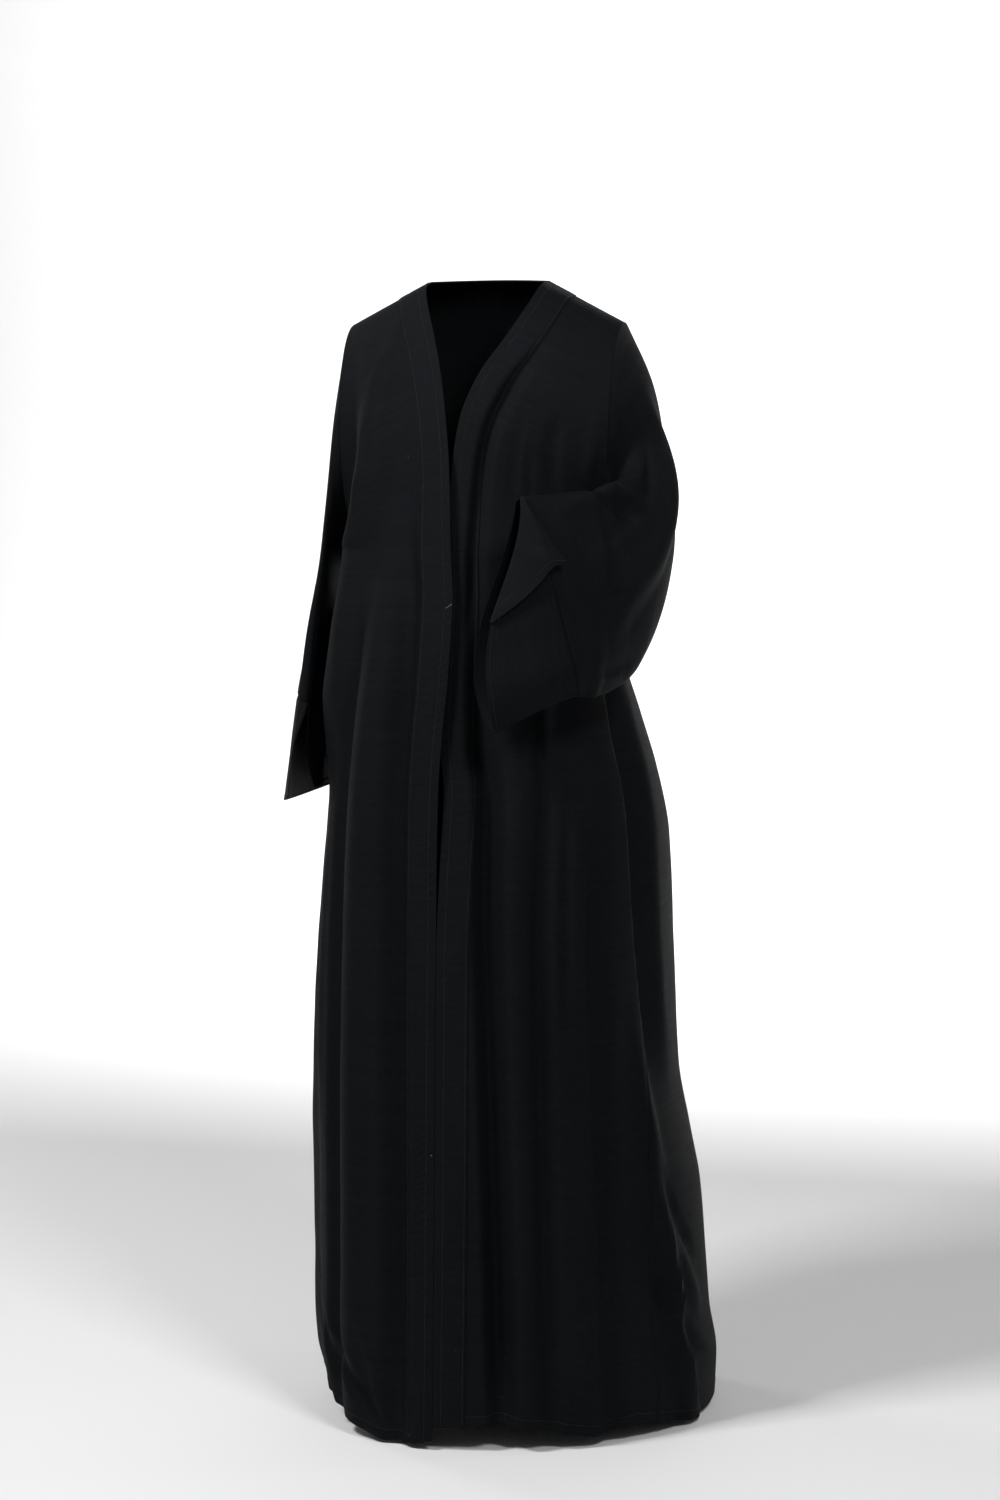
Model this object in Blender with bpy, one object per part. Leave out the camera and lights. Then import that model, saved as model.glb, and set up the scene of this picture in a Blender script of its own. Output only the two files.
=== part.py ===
"""An open-front abaya as it hangs when worn, right arm down and left arm bent across the waist.

Metres, +Z up. The front faces -Y and the wearer's left is +X. The origin lies midway
between the neck ends of the two shoulder seams, where the wearer's shoulders hold the cloth.
"""

import math
from collections import namedtuple

import bpy
import numpy as np

# Driving sizes
LENGTH = 1.42
UNDERARM = 0.335
NECK_HALF = 0.078
SHOULDER_HALF = 0.176
NECK_SHARE = NECK_HALF / SHOULDER_HALF
BAND_WIDTH = 0.040
CUFF_DEPTH = 0.105
SLEEVE_RUN = 0.400
WALL = 0.0012
BAND_WALL = 0.0009
SEAM_GAP = 0.0003
SMALL = 1e-3

# How finely the cloth is divided
YOKE_ROWS = 12
SKIRT_ROWS = 25
RING_POINTS = 24
SLEEVE_ROWS = 15
CUFF_ROWS = 5
CURVE_SAMPLES = 80

CLOTH_COLOUR = (0.012, 0.013, 0.015, 1.0)
BAND_COLOUR = (0.015, 0.016, 0.018, 1.0)
CLOTH_ROUGHNESS = 0.85


def below(drop):
    """The level of a height under the underarm: levels run 0 to 1 down the yoke and 1 to 2 down the skirt."""
    return 1 + (drop - UNDERARM) / (LENGTH - UNDERARM)


# The two front edges, from the neck down to the hem
EdgeRow = namedtuple("EdgeRow", "level drop right_x right_y left_x left_y")
FRONT_EDGES = [
    EdgeRow(0.00, 0.000, -0.078, 0.000, 0.078, 0.000),
    EdgeRow(0.10, 0.006, -0.074, -0.034, 0.076, -0.034),
    EdgeRow(0.22, 0.030, -0.063, -0.066, 0.067, -0.064),
    EdgeRow(0.36, 0.073, -0.045, -0.097, 0.044, -0.094),
    EdgeRow(0.50, 0.118, -0.031, -0.120, 0.017, -0.119),
    EdgeRow(0.65, 0.175, -0.019, -0.141, -0.003, -0.138),
    EdgeRow(0.80, 0.235, -0.011, -0.156, -0.010, -0.147),
    EdgeRow(1.00, 0.335, -0.003, -0.179, -0.012, -0.167),
    EdgeRow(below(0.40), 0.400, 0.003, -0.193, -0.008, -0.181),
    EdgeRow(below(0.48), 0.480, 0.001, -0.206, -0.009, -0.194),
    EdgeRow(below(0.57), 0.570, -0.006, -0.214, -0.010, -0.203),
    EdgeRow(below(0.63), 0.630, -0.009, -0.218, -0.004, -0.209),
    EdgeRow(below(0.72), 0.720, -0.010, -0.222, -0.007, -0.218),
    EdgeRow(below(0.82), 0.820, -0.010, -0.227, -0.0085, -0.2265),
    EdgeRow(below(1.10), 1.100, -0.010, -0.236, -0.0085, -0.236),
    EdgeRow(below(1.42), 1.420, -0.011, -0.245, -0.0095, -0.245),
]

# The widest points of the skirt, and how far round the front the side seams lie
SideRow = namedtuple("SideRow", "level right_x right_y left_x left_y right_seam left_seam fullness")
SIDES = [
    SideRow(1.00, -0.170, 0.000, 0.170, 0.000, 1.00, 1.00, 2.00),
    SideRow(below(0.37), -0.172, 0.000, 0.166, 0.000, 1.00, 0.96, 2.05),
    SideRow(below(0.41), -0.176, 0.000, 0.163, 0.000, 1.00, 0.90, 2.15),
    SideRow(below(0.47), -0.180, 0.000, 0.172, 0.004, 1.00, 0.82, 2.25),
    SideRow(below(0.54), -0.186, 0.000, 0.192, 0.010, 1.00, 0.76, 2.30),
    SideRow(below(0.61), -0.194, 0.000, 0.212, 0.018, 1.00, 0.74, 2.30),
    SideRow(below(0.70), -0.204, 0.002, 0.228, 0.026, 1.00, 0.73, 2.30),
    SideRow(below(0.86), -0.216, 0.005, 0.234, 0.034, 1.01, 0.73, 2.30),
    SideRow(below(1.00), -0.223, 0.008, 0.239, 0.040, 1.02, 0.70, 2.25),
    SideRow(below(1.08), -0.226, 0.010, 0.253, 0.042, 1.02, 0.68, 2.20),
    SideRow(below(1.16), -0.226, 0.010, 0.268, 0.044, 1.02, 0.66, 2.15),
    SideRow(below(1.25), -0.224, 0.010, 0.275, 0.046, 1.02, 0.65, 2.15),
    SideRow(below(1.31), -0.224, 0.010, 0.280, 0.048, 1.02, 0.64, 2.15),
    SideRow(below(1.37), -0.220, 0.010, 0.290, 0.048, 1.02, 0.64, 2.15),
    SideRow(below(1.42), -0.207, 0.010, 0.288, 0.048, 1.02, 0.64, 2.15),
]

# How far the hem hangs below its nominal height, by share of the way round to the centre back
HemRow = namedtuple("HemRow", "place right left")
HEM_DROP = [
    HemRow(0.00, 0.014, -0.001),
    HemRow(0.05, 0.021, -0.006),
    HemRow(0.10, 0.022, -0.008),
    HemRow(0.16, 0.012, 0.000),
    HemRow(0.24, 0.001, 0.013),
    HemRow(0.31, -0.008, 0.005),
    HemRow(0.44, -0.025, 0.022),
    HemRow(0.52, -0.020, 0.023),
    HemRow(0.70, -0.008, 0.010),
    HemRow(1.00, 0.000, 0.000),
]
HEM_START = 1.20

# The centre of the back, from the neck down to the hem
BackRow = namedtuple("BackRow", "level drop y")
CENTRE_BACK = [
    BackRow(0.00, -0.004, 0.050),
    BackRow(0.12, 0.014, 0.079),
    BackRow(0.28, 0.055, 0.101),
    BackRow(0.50, 0.130, 0.117),
    BackRow(0.75, 0.230, 0.122),
    BackRow(1.00, 0.335, 0.124),
    BackRow(below(0.50), 0.500, 0.136),
    BackRow(below(0.80), 0.800, 0.175),
    BackRow(below(1.10), 1.100, 0.208),
    BackRow(below(1.42), 1.420, 0.240),
]

# Folds. At, middle_at and stop_at say where the fold lies, in metres round from the front
# edge, or round from the centre back with the wearer's left positive. Depth is outwards.
Fold = namedtuple("Fold", "start stop at middle_at stop_at near_width far_width depth")
RIGHT_FOLDS = [
    Fold(0.14, 1.60, 0.064, 0.054, 0.046, 0.024, 0.032, -0.020),
    Fold(0.16, 1.60, 0.106, 0.119, 0.124, 0.034, 0.034, 0.008),
    Fold(0.24, 1.60, 0.150, 0.158, 0.160, 0.022, 0.026, -0.012),
    Fold(0.02, 0.66, 0.088, 0.165, 0.240, 0.060, 0.030, 0.024),
    Fold(0.62, 1.60, 0.225, 0.235, 0.245, 0.035, 0.035, -0.006),
    Fold(1.28, 1.60, 0.235, 0.190, 0.140, 0.018, 0.026, -0.010),
]
LEFT_FOLDS = [
    Fold(0.02, 0.46, 0.044, 0.035, 0.028, 0.010, 0.022, -0.011),
    Fold(0.30, 1.60, 0.032, 0.066, 0.088, 0.020, 0.030, -0.022),
    Fold(0.36, 1.60, 0.085, 0.100, 0.125, 0.026, 0.022, 0.007),
    Fold(0.17, 1.60, 0.128, 0.130, 0.160, 0.020, 0.024, -0.011),
    Fold(0.50, 1.60, 0.190, 0.215, 0.240, 0.024, 0.030, -0.010),
    Fold(0.42, 1.05, 0.232, 0.280, 0.330, 0.022, 0.060, -0.028),
    Fold(0.86, 1.60, 0.265, 0.330, 0.390, 0.022, 0.030, 0.010),
    Fold(1.08, 1.60, 0.275, 0.360, 0.440, 0.020, 0.024, 0.008),
]
BACK_FOLDS = [
    Fold(0.34, 1.60, -0.225, -0.248, -0.265, 0.034, 0.034, -0.012),
    Fold(0.26, 1.60, -0.140, -0.152, -0.160, 0.032, 0.040, -0.018),
    Fold(0.40, 1.60, -0.085, -0.096, -0.105, 0.026, 0.026, 0.010),
    Fold(0.22, 1.60, -0.022, -0.020, -0.030, 0.036, 0.036, -0.014),
    Fold(0.30, 1.60, 0.050, 0.058, 0.060, 0.034, 0.034, 0.012),
    Fold(0.28, 1.60, 0.115, 0.128, 0.135, 0.030, 0.044, -0.020),
    Fold(0.45, 1.60, 0.200, 0.212, 0.230, 0.034, 0.034, -0.012),
]

# The sleeves, ring by ring from the armhole to the cuff's edge. Top is the ring's highest
# point and low its lowest. Turn swings the ring's front side towards the wearer's middle,
# twist rolls the cloth round the bent arm, and bow draws the ring's sides on along the sleeve.
RingRow = namedtuple("RingRow", "run top_x top_y top_z low_x low_y low_z thick turn twist taper bow")
RIGHT_RINGS = [
    RingRow(0.000, 0.176, 0.000, -0.052, 0.170, 0.000, -0.335, 0.170, 0, 0, 0.0, 0.0),
    RingRow(0.055, 0.184, 0.000, -0.115, 0.182, 0.000, -0.352, 0.172, 0, 0, 0.0, 0.0),
    RingRow(0.110, 0.191, 0.004, -0.185, 0.188, 0.004, -0.370, 0.175, 0, 0, 0.0, 0.0),
    RingRow(0.170, 0.200, 0.008, -0.260, 0.190, 0.008, -0.390, 0.180, 0, 0, 0.0, 0.0),
    RingRow(0.230, 0.211, 0.012, -0.335, 0.191, 0.012, -0.416, 0.188, 0, 0, 0.0, 0.0),
    RingRow(0.290, 0.228, 0.015, -0.410, 0.192, 0.015, -0.452, 0.198, 0, 0, 0.0, 0.0),
    RingRow(0.345, 0.240, 0.017, -0.475, 0.194, 0.017, -0.492, 0.206, 0, 0, 0.0, 0.0),
    RingRow(0.400, 0.249, 0.018, -0.527, 0.198, 0.018, -0.535, 0.212, 0, 0, 0.0, 0.0),
    RingRow(0.505, 0.262, 0.012, -0.664, 0.206, 0.020, -0.640, 0.245, 0, 0, 0.0, 0.0),
]
LEFT_RINGS = [
    RingRow(0.000, 0.176, 0.000, -0.052, 0.170, 0.000, -0.335, 0.170, 0, 0, 0.0, 0.0),
    RingRow(0.055, 0.199, -0.001, -0.109, 0.190, -0.006, -0.375, 0.139, -12, 12, 0.0, 0.0),
    RingRow(0.110, 0.210, -0.019, -0.165, 0.205, -0.041, -0.415, 0.104, -24, 39, 0.05, 0.0),
    RingRow(0.165, 0.217, -0.058, -0.212, 0.216, -0.093, -0.452, 0.080, -60, 60, 0.15, 0.0),
    RingRow(0.220, 0.207, -0.092, -0.240, 0.213, -0.130, -0.484, 0.074, -98, 80, 0.25, 0.0),
    RingRow(0.280, 0.176, -0.147, -0.255, 0.199, -0.170, -0.502, 0.072, -120, 88, 0.30, 0.0),
    RingRow(0.340, 0.139, -0.203, -0.263, 0.184, -0.202, -0.508, 0.068, -138, 90, 0.30, 0.0),
    RingRow(0.400, 0.1035, -0.2535, -0.268, 0.167, -0.228, -0.508, 0.060, -150, 90, 0.25, 0.0),
    RingRow(0.505, 0.0985, -0.262, -0.274, 0.0695, -0.256, -0.5505, 0.042, -150, 90, -0.9, 0.021),
]
WRIST_TWIST = math.radians(90)

# Sleeve folds: the same columns, with degrees round the ring and distances along the sleeve
RIGHT_SLEEVE_FOLDS = [
    Fold(0.06, 0.60, 30, 50, 62, 26, 30, -0.008),
    Fold(0.20, 0.60, 84, 94, 100, 22, 26, 0.007),
    Fold(0.20, 0.60, 130, 126, 122, 24, 24, -0.007),
    Fold(0.10, 0.60, 320, 300, 288, 30, 30, -0.009),
    Fold(0.20, 0.60, 250, 248, 246, 26, 26, 0.007),
]
LEFT_SLEEVE_FOLDS = [
    Fold(0.06, 0.34, 390, 372, 340, 26, 26, 0.010),
    Fold(0.12, 0.35, 425, 408, 390, 16, 22, -0.009),
    Fold(0.20, 0.37, 442, 430, 418, 14, 16, 0.006),
    Fold(0.24, 0.60, 318, 316, 312, 30, 30, 0.006),
    Fold(0.10, 0.40, 160, 165, 170, 30, 30, -0.008),
]

# The slits in the cuffs: degrees round the ring, and how far the right one stands open
RIGHT_SLIT = 104
RIGHT_SLIT_OPEN = 34
# The left cuff's turned-back corner, in metres round from the slit and beyond the seam
TURN_FOLD_AT_SEAM = 0.007
TURN_FOLD_AT_EDGE = 0.146
TURN_WIDTH_AT_SEAM = 0.010
TURN_CORNER_ROUND = 0.098
TURN_CORNER_BEYOND = -0.030
TURN_ROLL = 0.0046
TURN_LIFT = 0.003


def eased(share):
    """0 to 1 with a soft start and end."""
    share = np.clip(share, 0.0, 1.0)
    return share * share * (3 - 2 * share)


def through(rows, column, at):
    """One column of a table at a key between its rows, on a curve that never overshoots them."""
    keys = [row[0] for row in rows]
    values = [getattr(row, column) for row in rows]
    steps = [b - a for a, b in zip(keys, keys[1:])]
    slopes = [(b - a) / h for a, b, h in zip(values, values[1:], steps)]
    ends = [slopes[0]]
    for before, after, h0, h1 in zip(slopes, slopes[1:], steps, steps[1:]):
        if before * after <= 0:
            ends.append(0.0)
        else:
            w0, w1 = 2 * h1 + h0, h1 + 2 * h0
            ends.append((w0 + w1) / (w0 / before + w1 / after))
    ends.append(slopes[-1])
    i = min(max(sum(key <= at for key in keys) - 1, 0), len(steps) - 1)
    h = steps[i]
    t = (at - keys[i]) / h
    return (
        values[i] * (2 * t**3 - 3 * t**2 + 1)
        + h * ends[i] * (t**3 - 2 * t**2 + t)
        + values[i + 1] * (3 * t**2 - 2 * t**3)
        + h * ends[i + 1] * (t**3 - t**2)
    )


def bump(distance, near, far):
    """A soft ridge 1 high, reaching near one way and far the other."""
    reach = np.where(distance < 0, near, far)
    return np.where(np.abs(distance) < reach, 0.5 + 0.5 * np.cos(np.pi * distance / reach), 0.0)


def fold_depth(folds, along, place):
    """How far the folds push the cloth out at these places, at one distance along them."""
    pushed = np.zeros_like(place)
    for fold in folds:
        share = (along - fold.start) / (fold.stop - fold.start)
        if not 0 < share < 1:
            continue
        centre = (
            fold.at * (1 - share) * (1 - 2 * share)
            + fold.middle_at * 4 * share * (1 - share)
            + fold.stop_at * share * (2 * share - 1)
        )
        strength = fold.depth * eased(share * 3.5) * eased((1 - share) * 4)
        pushed += strength * bump(place - centre, fold.near_width, fold.far_width)
    return pushed


def ring(side, run, angle):
    """Points of a sleeve and its cuff at one run and these angles, and the way out in their ring."""
    rows = RIGHT_RINGS if side < 0 else LEFT_RINGS
    folds = RIGHT_SLEEVE_FOLDS if side < 0 else LEFT_SLEEVE_FOLDS
    row = {name: through(rows, name, run) for name in RingRow._fields[1:]}
    top = np.array([row["top_x"], row["top_y"], row["top_z"]])
    low = np.array([row["low_x"], row["low_y"], row["low_z"]])
    turn = math.radians(row["turn"])
    across = np.array([math.sin(turn), -math.cos(turn), 0.0])
    angle = np.asarray(angle, float)
    rolled = angle - math.radians(row["twist"])
    cos, sin = np.cos(rolled)[:, None], np.sin(rolled)[:, None]
    middle, half_height, half_thick = (top + low) / 2, (top - low) / 2, row["thick"] / 2
    points = middle + half_height * cos + across * half_thick * sin * (1 + row["taper"] * cos)
    points[:, 0] -= row["bow"] * sin[:, 0] ** 2 * (1 - cos[:, 0])
    points[:, 0] += SEAM_GAP if run > 0 else 0.0
    length = np.linalg.norm(half_height)
    outward = half_height / length * cos * half_thick + across * sin * length
    outward /= np.linalg.norm(outward, axis=1)[:, None]
    degrees = np.degrees(angle) % 360
    depth = fold_depth(folds, run, degrees) + fold_depth(folds, run, degrees + 360)
    points += outward * depth[:, None]
    points[:, 0] *= side
    outward[:, 0] *= side
    return points, outward


def tube(side, run, angle):
    return ring(side, run, angle)[0]


def arc(start, end, bend, fullness, share):
    """From start round to end in plan: level with X at the start and turned by bend at the end."""
    across = (np.sin(bend * share) / math.sin(bend)) ** (2 / fullness)
    rest = (np.cos(bend * share) - math.cos(bend)) / (1 - math.cos(bend))
    across_y = np.clip(rest, 0, 1) ** (2 / fullness)
    x = start[0] + (end[0] - start[0]) * across
    y = end[1] + (start[1] - end[1]) * across_y
    return x, y, across


def half_row(side, level):
    """One half of the body at a level, without folds: from the front edge round to the centre back."""
    name = "right" if side < 0 else "left"
    edge = [through(FRONT_EDGES, f"{name}_x", level), through(FRONT_EDGES, f"{name}_y", level)]
    edge_z = -through(FRONT_EDGES, "drop", level)
    back = [0.0, through(CENTRE_BACK, "y", level)]
    back_z = -through(CENTRE_BACK, "drop", level)
    share = np.linspace(0, 1, CURVE_SAMPLES)
    if level < 1:
        at = np.array([math.pi * level, -math.pi * level])
        front_end, back_end = tube(side, 0.0, at)
        fullness = 2.0
        bend = math.radians(30 + 60 * float(eased((level - 0.5) / 0.5)))
        round_neck = float(eased(level / 0.3))
    else:
        end_x, end_y = through(SIDES, f"{name}_x", level), through(SIDES, f"{name}_y", level)
        front_end = back_end = np.array([end_x, end_y, edge_z])
        fullness = through(SIDES, "fullness", level)
        bend = math.pi / 2
        round_neck = 1.0
    x, y, across = arc(edge, front_end, bend, fullness, share)
    front = np.stack([x, y, edge_z + (front_end[2] - edge_z) * across], 1)
    x, y, across = arc(back, back_end, bend, fullness, share)
    if round_neck < 1:
        neck_width = NECK_SHARE + (1 - NECK_SHARE) * round_neck
        dip = np.clip(1 - (across / neck_width) ** 2, 0, 1)
        y = y * round_neck + (back_end[1] + (back[1] - back_end[1]) * dip) * (1 - round_neck)
        slope = np.clip((across - NECK_SHARE) / (1 - NECK_SHARE), 0, 1)
        shoulder_z = edge_z + (back_end[2] - edge_z) * slope + (back_z - edge_z) * dip
    down = back_z + (back_end[2] - back_z) * across**2
    if round_neck < 1:
        down = down * round_neck + shoulder_z * (1 - round_neck)
    behind = np.stack([x, y, down], 1)
    return front, behind[::-1]


def lengths(points):
    steps = np.linalg.norm(np.diff(points, axis=0), axis=1)
    return np.concatenate([[0.0], np.cumsum(steps)])


class Row:
    """One level of one half of the body, read by the distance round from its front edge."""

    def __init__(self, side, level):
        self.side, self.level = side, level
        front, behind = half_row(side, level)
        self.front_length = lengths(front)[-1]
        self.armhole_gap = np.linalg.norm(behind[0] - front[-1])
        points = np.concatenate([front, behind[1:]] if level >= 1 else [front, behind])
        self.at = lengths(points)
        self.length = self.at[-1]
        self.points = points
        self.drop = through(FRONT_EDGES, "drop", level)

    def seam(self):
        """Where the front stops: the armhole above the underarm, and the side seam below it."""
        if self.level <= 1:
            return self.front_length
        name = "right_seam" if self.side < 0 else "left_seam"
        return self.front_length * through(SIDES, name, self.level)

    def points_at(self, place):
        """The cloth at these distances round, folds included."""
        place = np.asarray(place, float)
        base = np.stack([np.interp(place, self.at, self.points[:, i]) for i in range(3)], 1)
        ahead = np.stack([np.interp(place + 0.004, self.at, self.points[:, i]) for i in range(2)], 1)
        behind = np.stack([np.interp(place - 0.004, self.at, self.points[:, i]) for i in range(2)], 1)
        run = ahead - behind
        run /= np.maximum(np.linalg.norm(run, axis=1), 1e-9)[:, None]
        outward = np.stack([-run[:, 1], run[:, 0]], 1) * self.side
        front_folds = RIGHT_FOLDS if self.side < 0 else LEFT_FOLDS
        depth = fold_depth(front_folds, self.drop, place)
        depth += fold_depth(BACK_FOLDS, self.drop, self.side * (self.length - place))
        from_armhole = np.minimum(
            np.abs(place - self.front_length), np.abs(place - self.front_length - self.armhole_gap)
        )
        free = eased(from_armhole / 0.035)
        free = 1 - (1 - free) * (1 - float(eased((self.level - 1) / 0.10)))
        base[:, :2] -= outward * (depth * free)[:, None]
        name = "right" if self.side < 0 else "left"
        shares = [row.place for row in HEM_DROP]
        drops = [getattr(row, name) for row in HEM_DROP]
        lowered = np.interp(place / self.length, shares, drops)
        base[:, 2] -= lowered * float(eased((self.drop - HEM_START) / (LENGTH - HEM_START)))
        return base


def outward_normals(before, after, left, right, flip):
    """Unit normals of a row of cloth from the rows and the points next to it."""
    normal = np.cross(right - left, after - before)
    normal /= np.maximum(np.linalg.norm(normal, axis=1), 1e-12)[:, None]
    return normal * flip


def body_levels():
    """The levels of the cloth's rows, closer together over the shoulders than down the skirt."""
    start = 0.0006
    yoke = [start + (1 - start) * i / YOKE_ROWS for i in range(YOKE_ROWS)]
    return yoke + [1 + i / SKIRT_ROWS for i in range(SKIRT_ROWS + 1)]


def body_grid(side, places_of):
    """Rows of points and outward normals. Places_of gives a row's distances round."""
    points, normals = [], []
    for level in body_levels():
        row = Row(side, level)
        place = places_of(row)
        before = Row(side, max(level - SMALL, 0.0)).points_at(place)
        after = Row(side, min(level + SMALL, 2.0)).points_at(place)
        here = row.points_at(place)
        left = row.points_at(place - SMALL)
        right = row.points_at(place + SMALL)
        points.append(here)
        normals.append(outward_normals(before, after, left, right, -side))
    points, normals = np.array(points), np.array(normals)
    normals[0, :, 1] = 0.0
    normals[0] /= np.linalg.norm(normals[0], axis=1)[:, None]
    return points, normals


def front_places(row):
    """Columns of a front: two for the band, one close beside it and the rest evenly to the seam."""
    end = row.seam() - SEAM_GAP / 2
    first = [0.0, BAND_WIDTH / 2, BAND_WIDTH, BAND_WIDTH + 0.012]
    rest = np.linspace(BAND_WIDTH + 0.027, end, 13)
    return np.concatenate([first, rest])


def back_places(row):
    """Columns of half a back, from the seam to the centre, with one at the end of the neckline."""
    start = row.seam() + SEAM_GAP / 2
    if row.level < 1:
        start = row.front_length + row.armhole_gap + SEAM_GAP / 2
    half = row.length - start
    neck = half * (0.46 - 0.06 * float(eased(row.level / 0.3)))
    shoulder = np.linspace(start, row.length - neck - BAND_WIDTH, 8)
    beside = [row.length - neck - BAND_WIDTH / 2]
    return np.concatenate([shoulder, beside, np.linspace(row.length - neck, row.length, 6)])


def material(name, colour):
    made = bpy.data.materials.new(name)
    made.use_nodes = True
    shader = made.node_tree.nodes["Principled BSDF"]
    shader.inputs["Base Color"].default_value = colour
    shader.inputs["Roughness"].default_value = CLOTH_ROUGHNESS
    shader.inputs["Metallic"].default_value = 0.0
    return made


def cloth_object(name, outer, inner, colour, closed=False):
    """A closed wall between two grids of points, rows by columns. Closed joins the last column to the first."""
    rows, columns = outer.shape[:2]
    count = rows * columns
    vertices = np.concatenate([outer.reshape(-1, 3), inner.reshape(-1, 3)])
    faces = []

    def quad(a, b, c, d):
        faces.extend([(a, b, c), (a, c, d)])

    def lining(a, b, c, d):
        faces.extend([(c + count, b + count, a + count), (d + count, c + count, a + count)])

    spans = columns if closed else columns - 1
    for i in range(rows - 1):
        for j in range(spans):
            k = (j + 1) % columns
            a, b, c, d = i * columns + j, i * columns + k, (i + 1) * columns + k, (i + 1) * columns + j
            quad(a, b, c, d)
            lining(a, b, c, d)
    for j in range(spans):
        k = (j + 1) % columns
        quad(k, j, j + count, k + count)
        low = (rows - 1) * columns
        quad(low + j, low + k, low + k + count, low + j + count)
    if not closed:
        for i in range(rows - 1):
            a, d = i * columns, (i + 1) * columns
            quad(a, d, d + count, a + count)
            quad(d + columns - 1, a + columns - 1, a + columns - 1 + count, d + columns - 1 + count)
    mesh = bpy.data.meshes.new(name)
    mesh.from_pydata([tuple(point) for point in vertices], [], faces)
    mesh.validate()
    made = bpy.data.objects.new(name, mesh)
    bpy.context.scene.collection.objects.link(made)
    mesh.materials.append(material(name, colour))
    mesh.shade_smooth()
    turn_outside(mesh)
    return made


def turn_outside(mesh):
    """Turns every face over if the wall came out inside out."""
    corners = np.array([[mesh.vertices[i].co for i in face.vertices] for face in mesh.polygons])
    if np.linalg.det(corners).sum() < 0:
        mesh.flip_normals()


def wall(name, points, normals, closed=False):
    return cloth_object(name, points, points - normals * WALL, CLOTH_COLOUR, closed)


def band(name, points, normals):
    """A strip that lies on the cloth: the same points, moved out."""
    return cloth_object(
        name, points + normals * (SEAM_GAP + BAND_WALL), points + normals * SEAM_GAP, BAND_COLOUR
    )


def make_front(side, name):
    points, normals = body_grid(side, front_places)
    wall(name, points, normals)
    band(f"{name}_band", points[:, :3], normals[:, :3])


def make_back():
    right_points, right_normals = body_grid(-1, back_places)
    left_points, left_normals = body_grid(1, back_places)
    points = np.concatenate([right_points, left_points[:, -2::-1]], 1)
    normals = np.concatenate([right_normals, left_normals[:, -2::-1]], 1)
    wall("back", points, normals)
    first = 7
    last = points.shape[1] - first
    strip = points[:2, first:last].copy()
    strip[0] += (strip[1] - strip[0]) * 0.04
    band("neck_band", strip, normals[:2, first:last])


def tube_grid(side, runs, angles_at):
    """Rows of points and outward normals along a sleeve or cuff."""
    points, normals = [], []
    for run in runs:
        angle = angles_at(run)
        before = tube(side, max(run - SMALL, SMALL / 10), angle)
        after = tube(side, run + SMALL, angle)
        left, right = tube(side, run, angle - 0.01), tube(side, run, angle + 0.01)
        normal = outward_normals(before, after, left, right, side)
        points.append(tube(side, run, angle))
        normals.append(normal)
    return np.array(points), np.array(normals)


def ring_angles(run):
    return np.arange(RING_POINTS) * 2 * math.pi / RING_POINTS


def inward_in_ring(side, angle):
    """Towards the inside of the armhole, without leaving its plane."""
    ring = tube(side, 0.0, angle)
    run = tube(side, 0.0, angle + 0.01) - tube(side, 0.0, angle - 0.01)
    top, low = tube(side, 0.0, np.array([0.0, math.pi]))
    plane = np.cross(top - low, [0.0, 1.0, 0.0])
    inward = np.cross(run, plane)
    inward /= np.linalg.norm(inward, axis=1)[:, None]
    centre = (top + low) / 2
    facing = np.sign(((centre - ring) * inward).sum(1))
    return inward * facing[:, None]


def make_sleeve(side, name):
    start, end = SMALL / 10, SLEEVE_RUN - SEAM_GAP / 2
    runs = np.linspace(start, end, SLEEVE_ROWS + 1)
    points, normals = tube_grid(side, runs, ring_angles)
    inner = points - normals * WALL
    inside = -normals[0] + inward_in_ring(side, ring_angles(0)) * 0.5
    inside[:, 0] = np.where(inside[:, 0] * side < 0, 0.0, inside[:, 0])
    inside /= np.linalg.norm(inside, axis=1)[:, None]
    inner[0] = points[0] + inside * WALL
    inner[-1] = points[-1] - ring(side, end, ring_angles(0))[1] * WALL
    cloth_object(name, points, inner, CLOTH_COLOUR, closed=True)


def cuff_runs():
    return np.linspace(SLEEVE_RUN + SEAM_GAP / 2, SLEEVE_RUN + CUFF_DEPTH, CUFF_ROWS + 1)


def make_right_cuff():
    """The hanging cuff: its slit stands open towards the edge."""

    def angles_at(run):
        open_share = (run - SLEEVE_RUN) / CUFF_DEPTH
        half = math.radians(0.4 + RIGHT_SLIT_OPEN * open_share)
        slit = math.radians(RIGHT_SLIT)
        return np.linspace(slit + half, slit + 2 * math.pi - half, RING_POINTS + 1)

    points, normals = tube_grid(-1, cuff_runs(), angles_at)
    start = SLEEVE_RUN + SEAM_GAP / 2
    normals[0] = ring(-1, start, angles_at(start))[1]
    wall("right_cuff", points, normals)


def outside_angle(run, distance):
    """The left sleeve's angle at a distance round its outer side from the slit at the top."""
    angles = np.linspace(2 * math.pi, math.pi, 60) + WRIST_TWIST
    return float(np.interp(distance, lengths(tube(1, run, angles)), angles))


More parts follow.
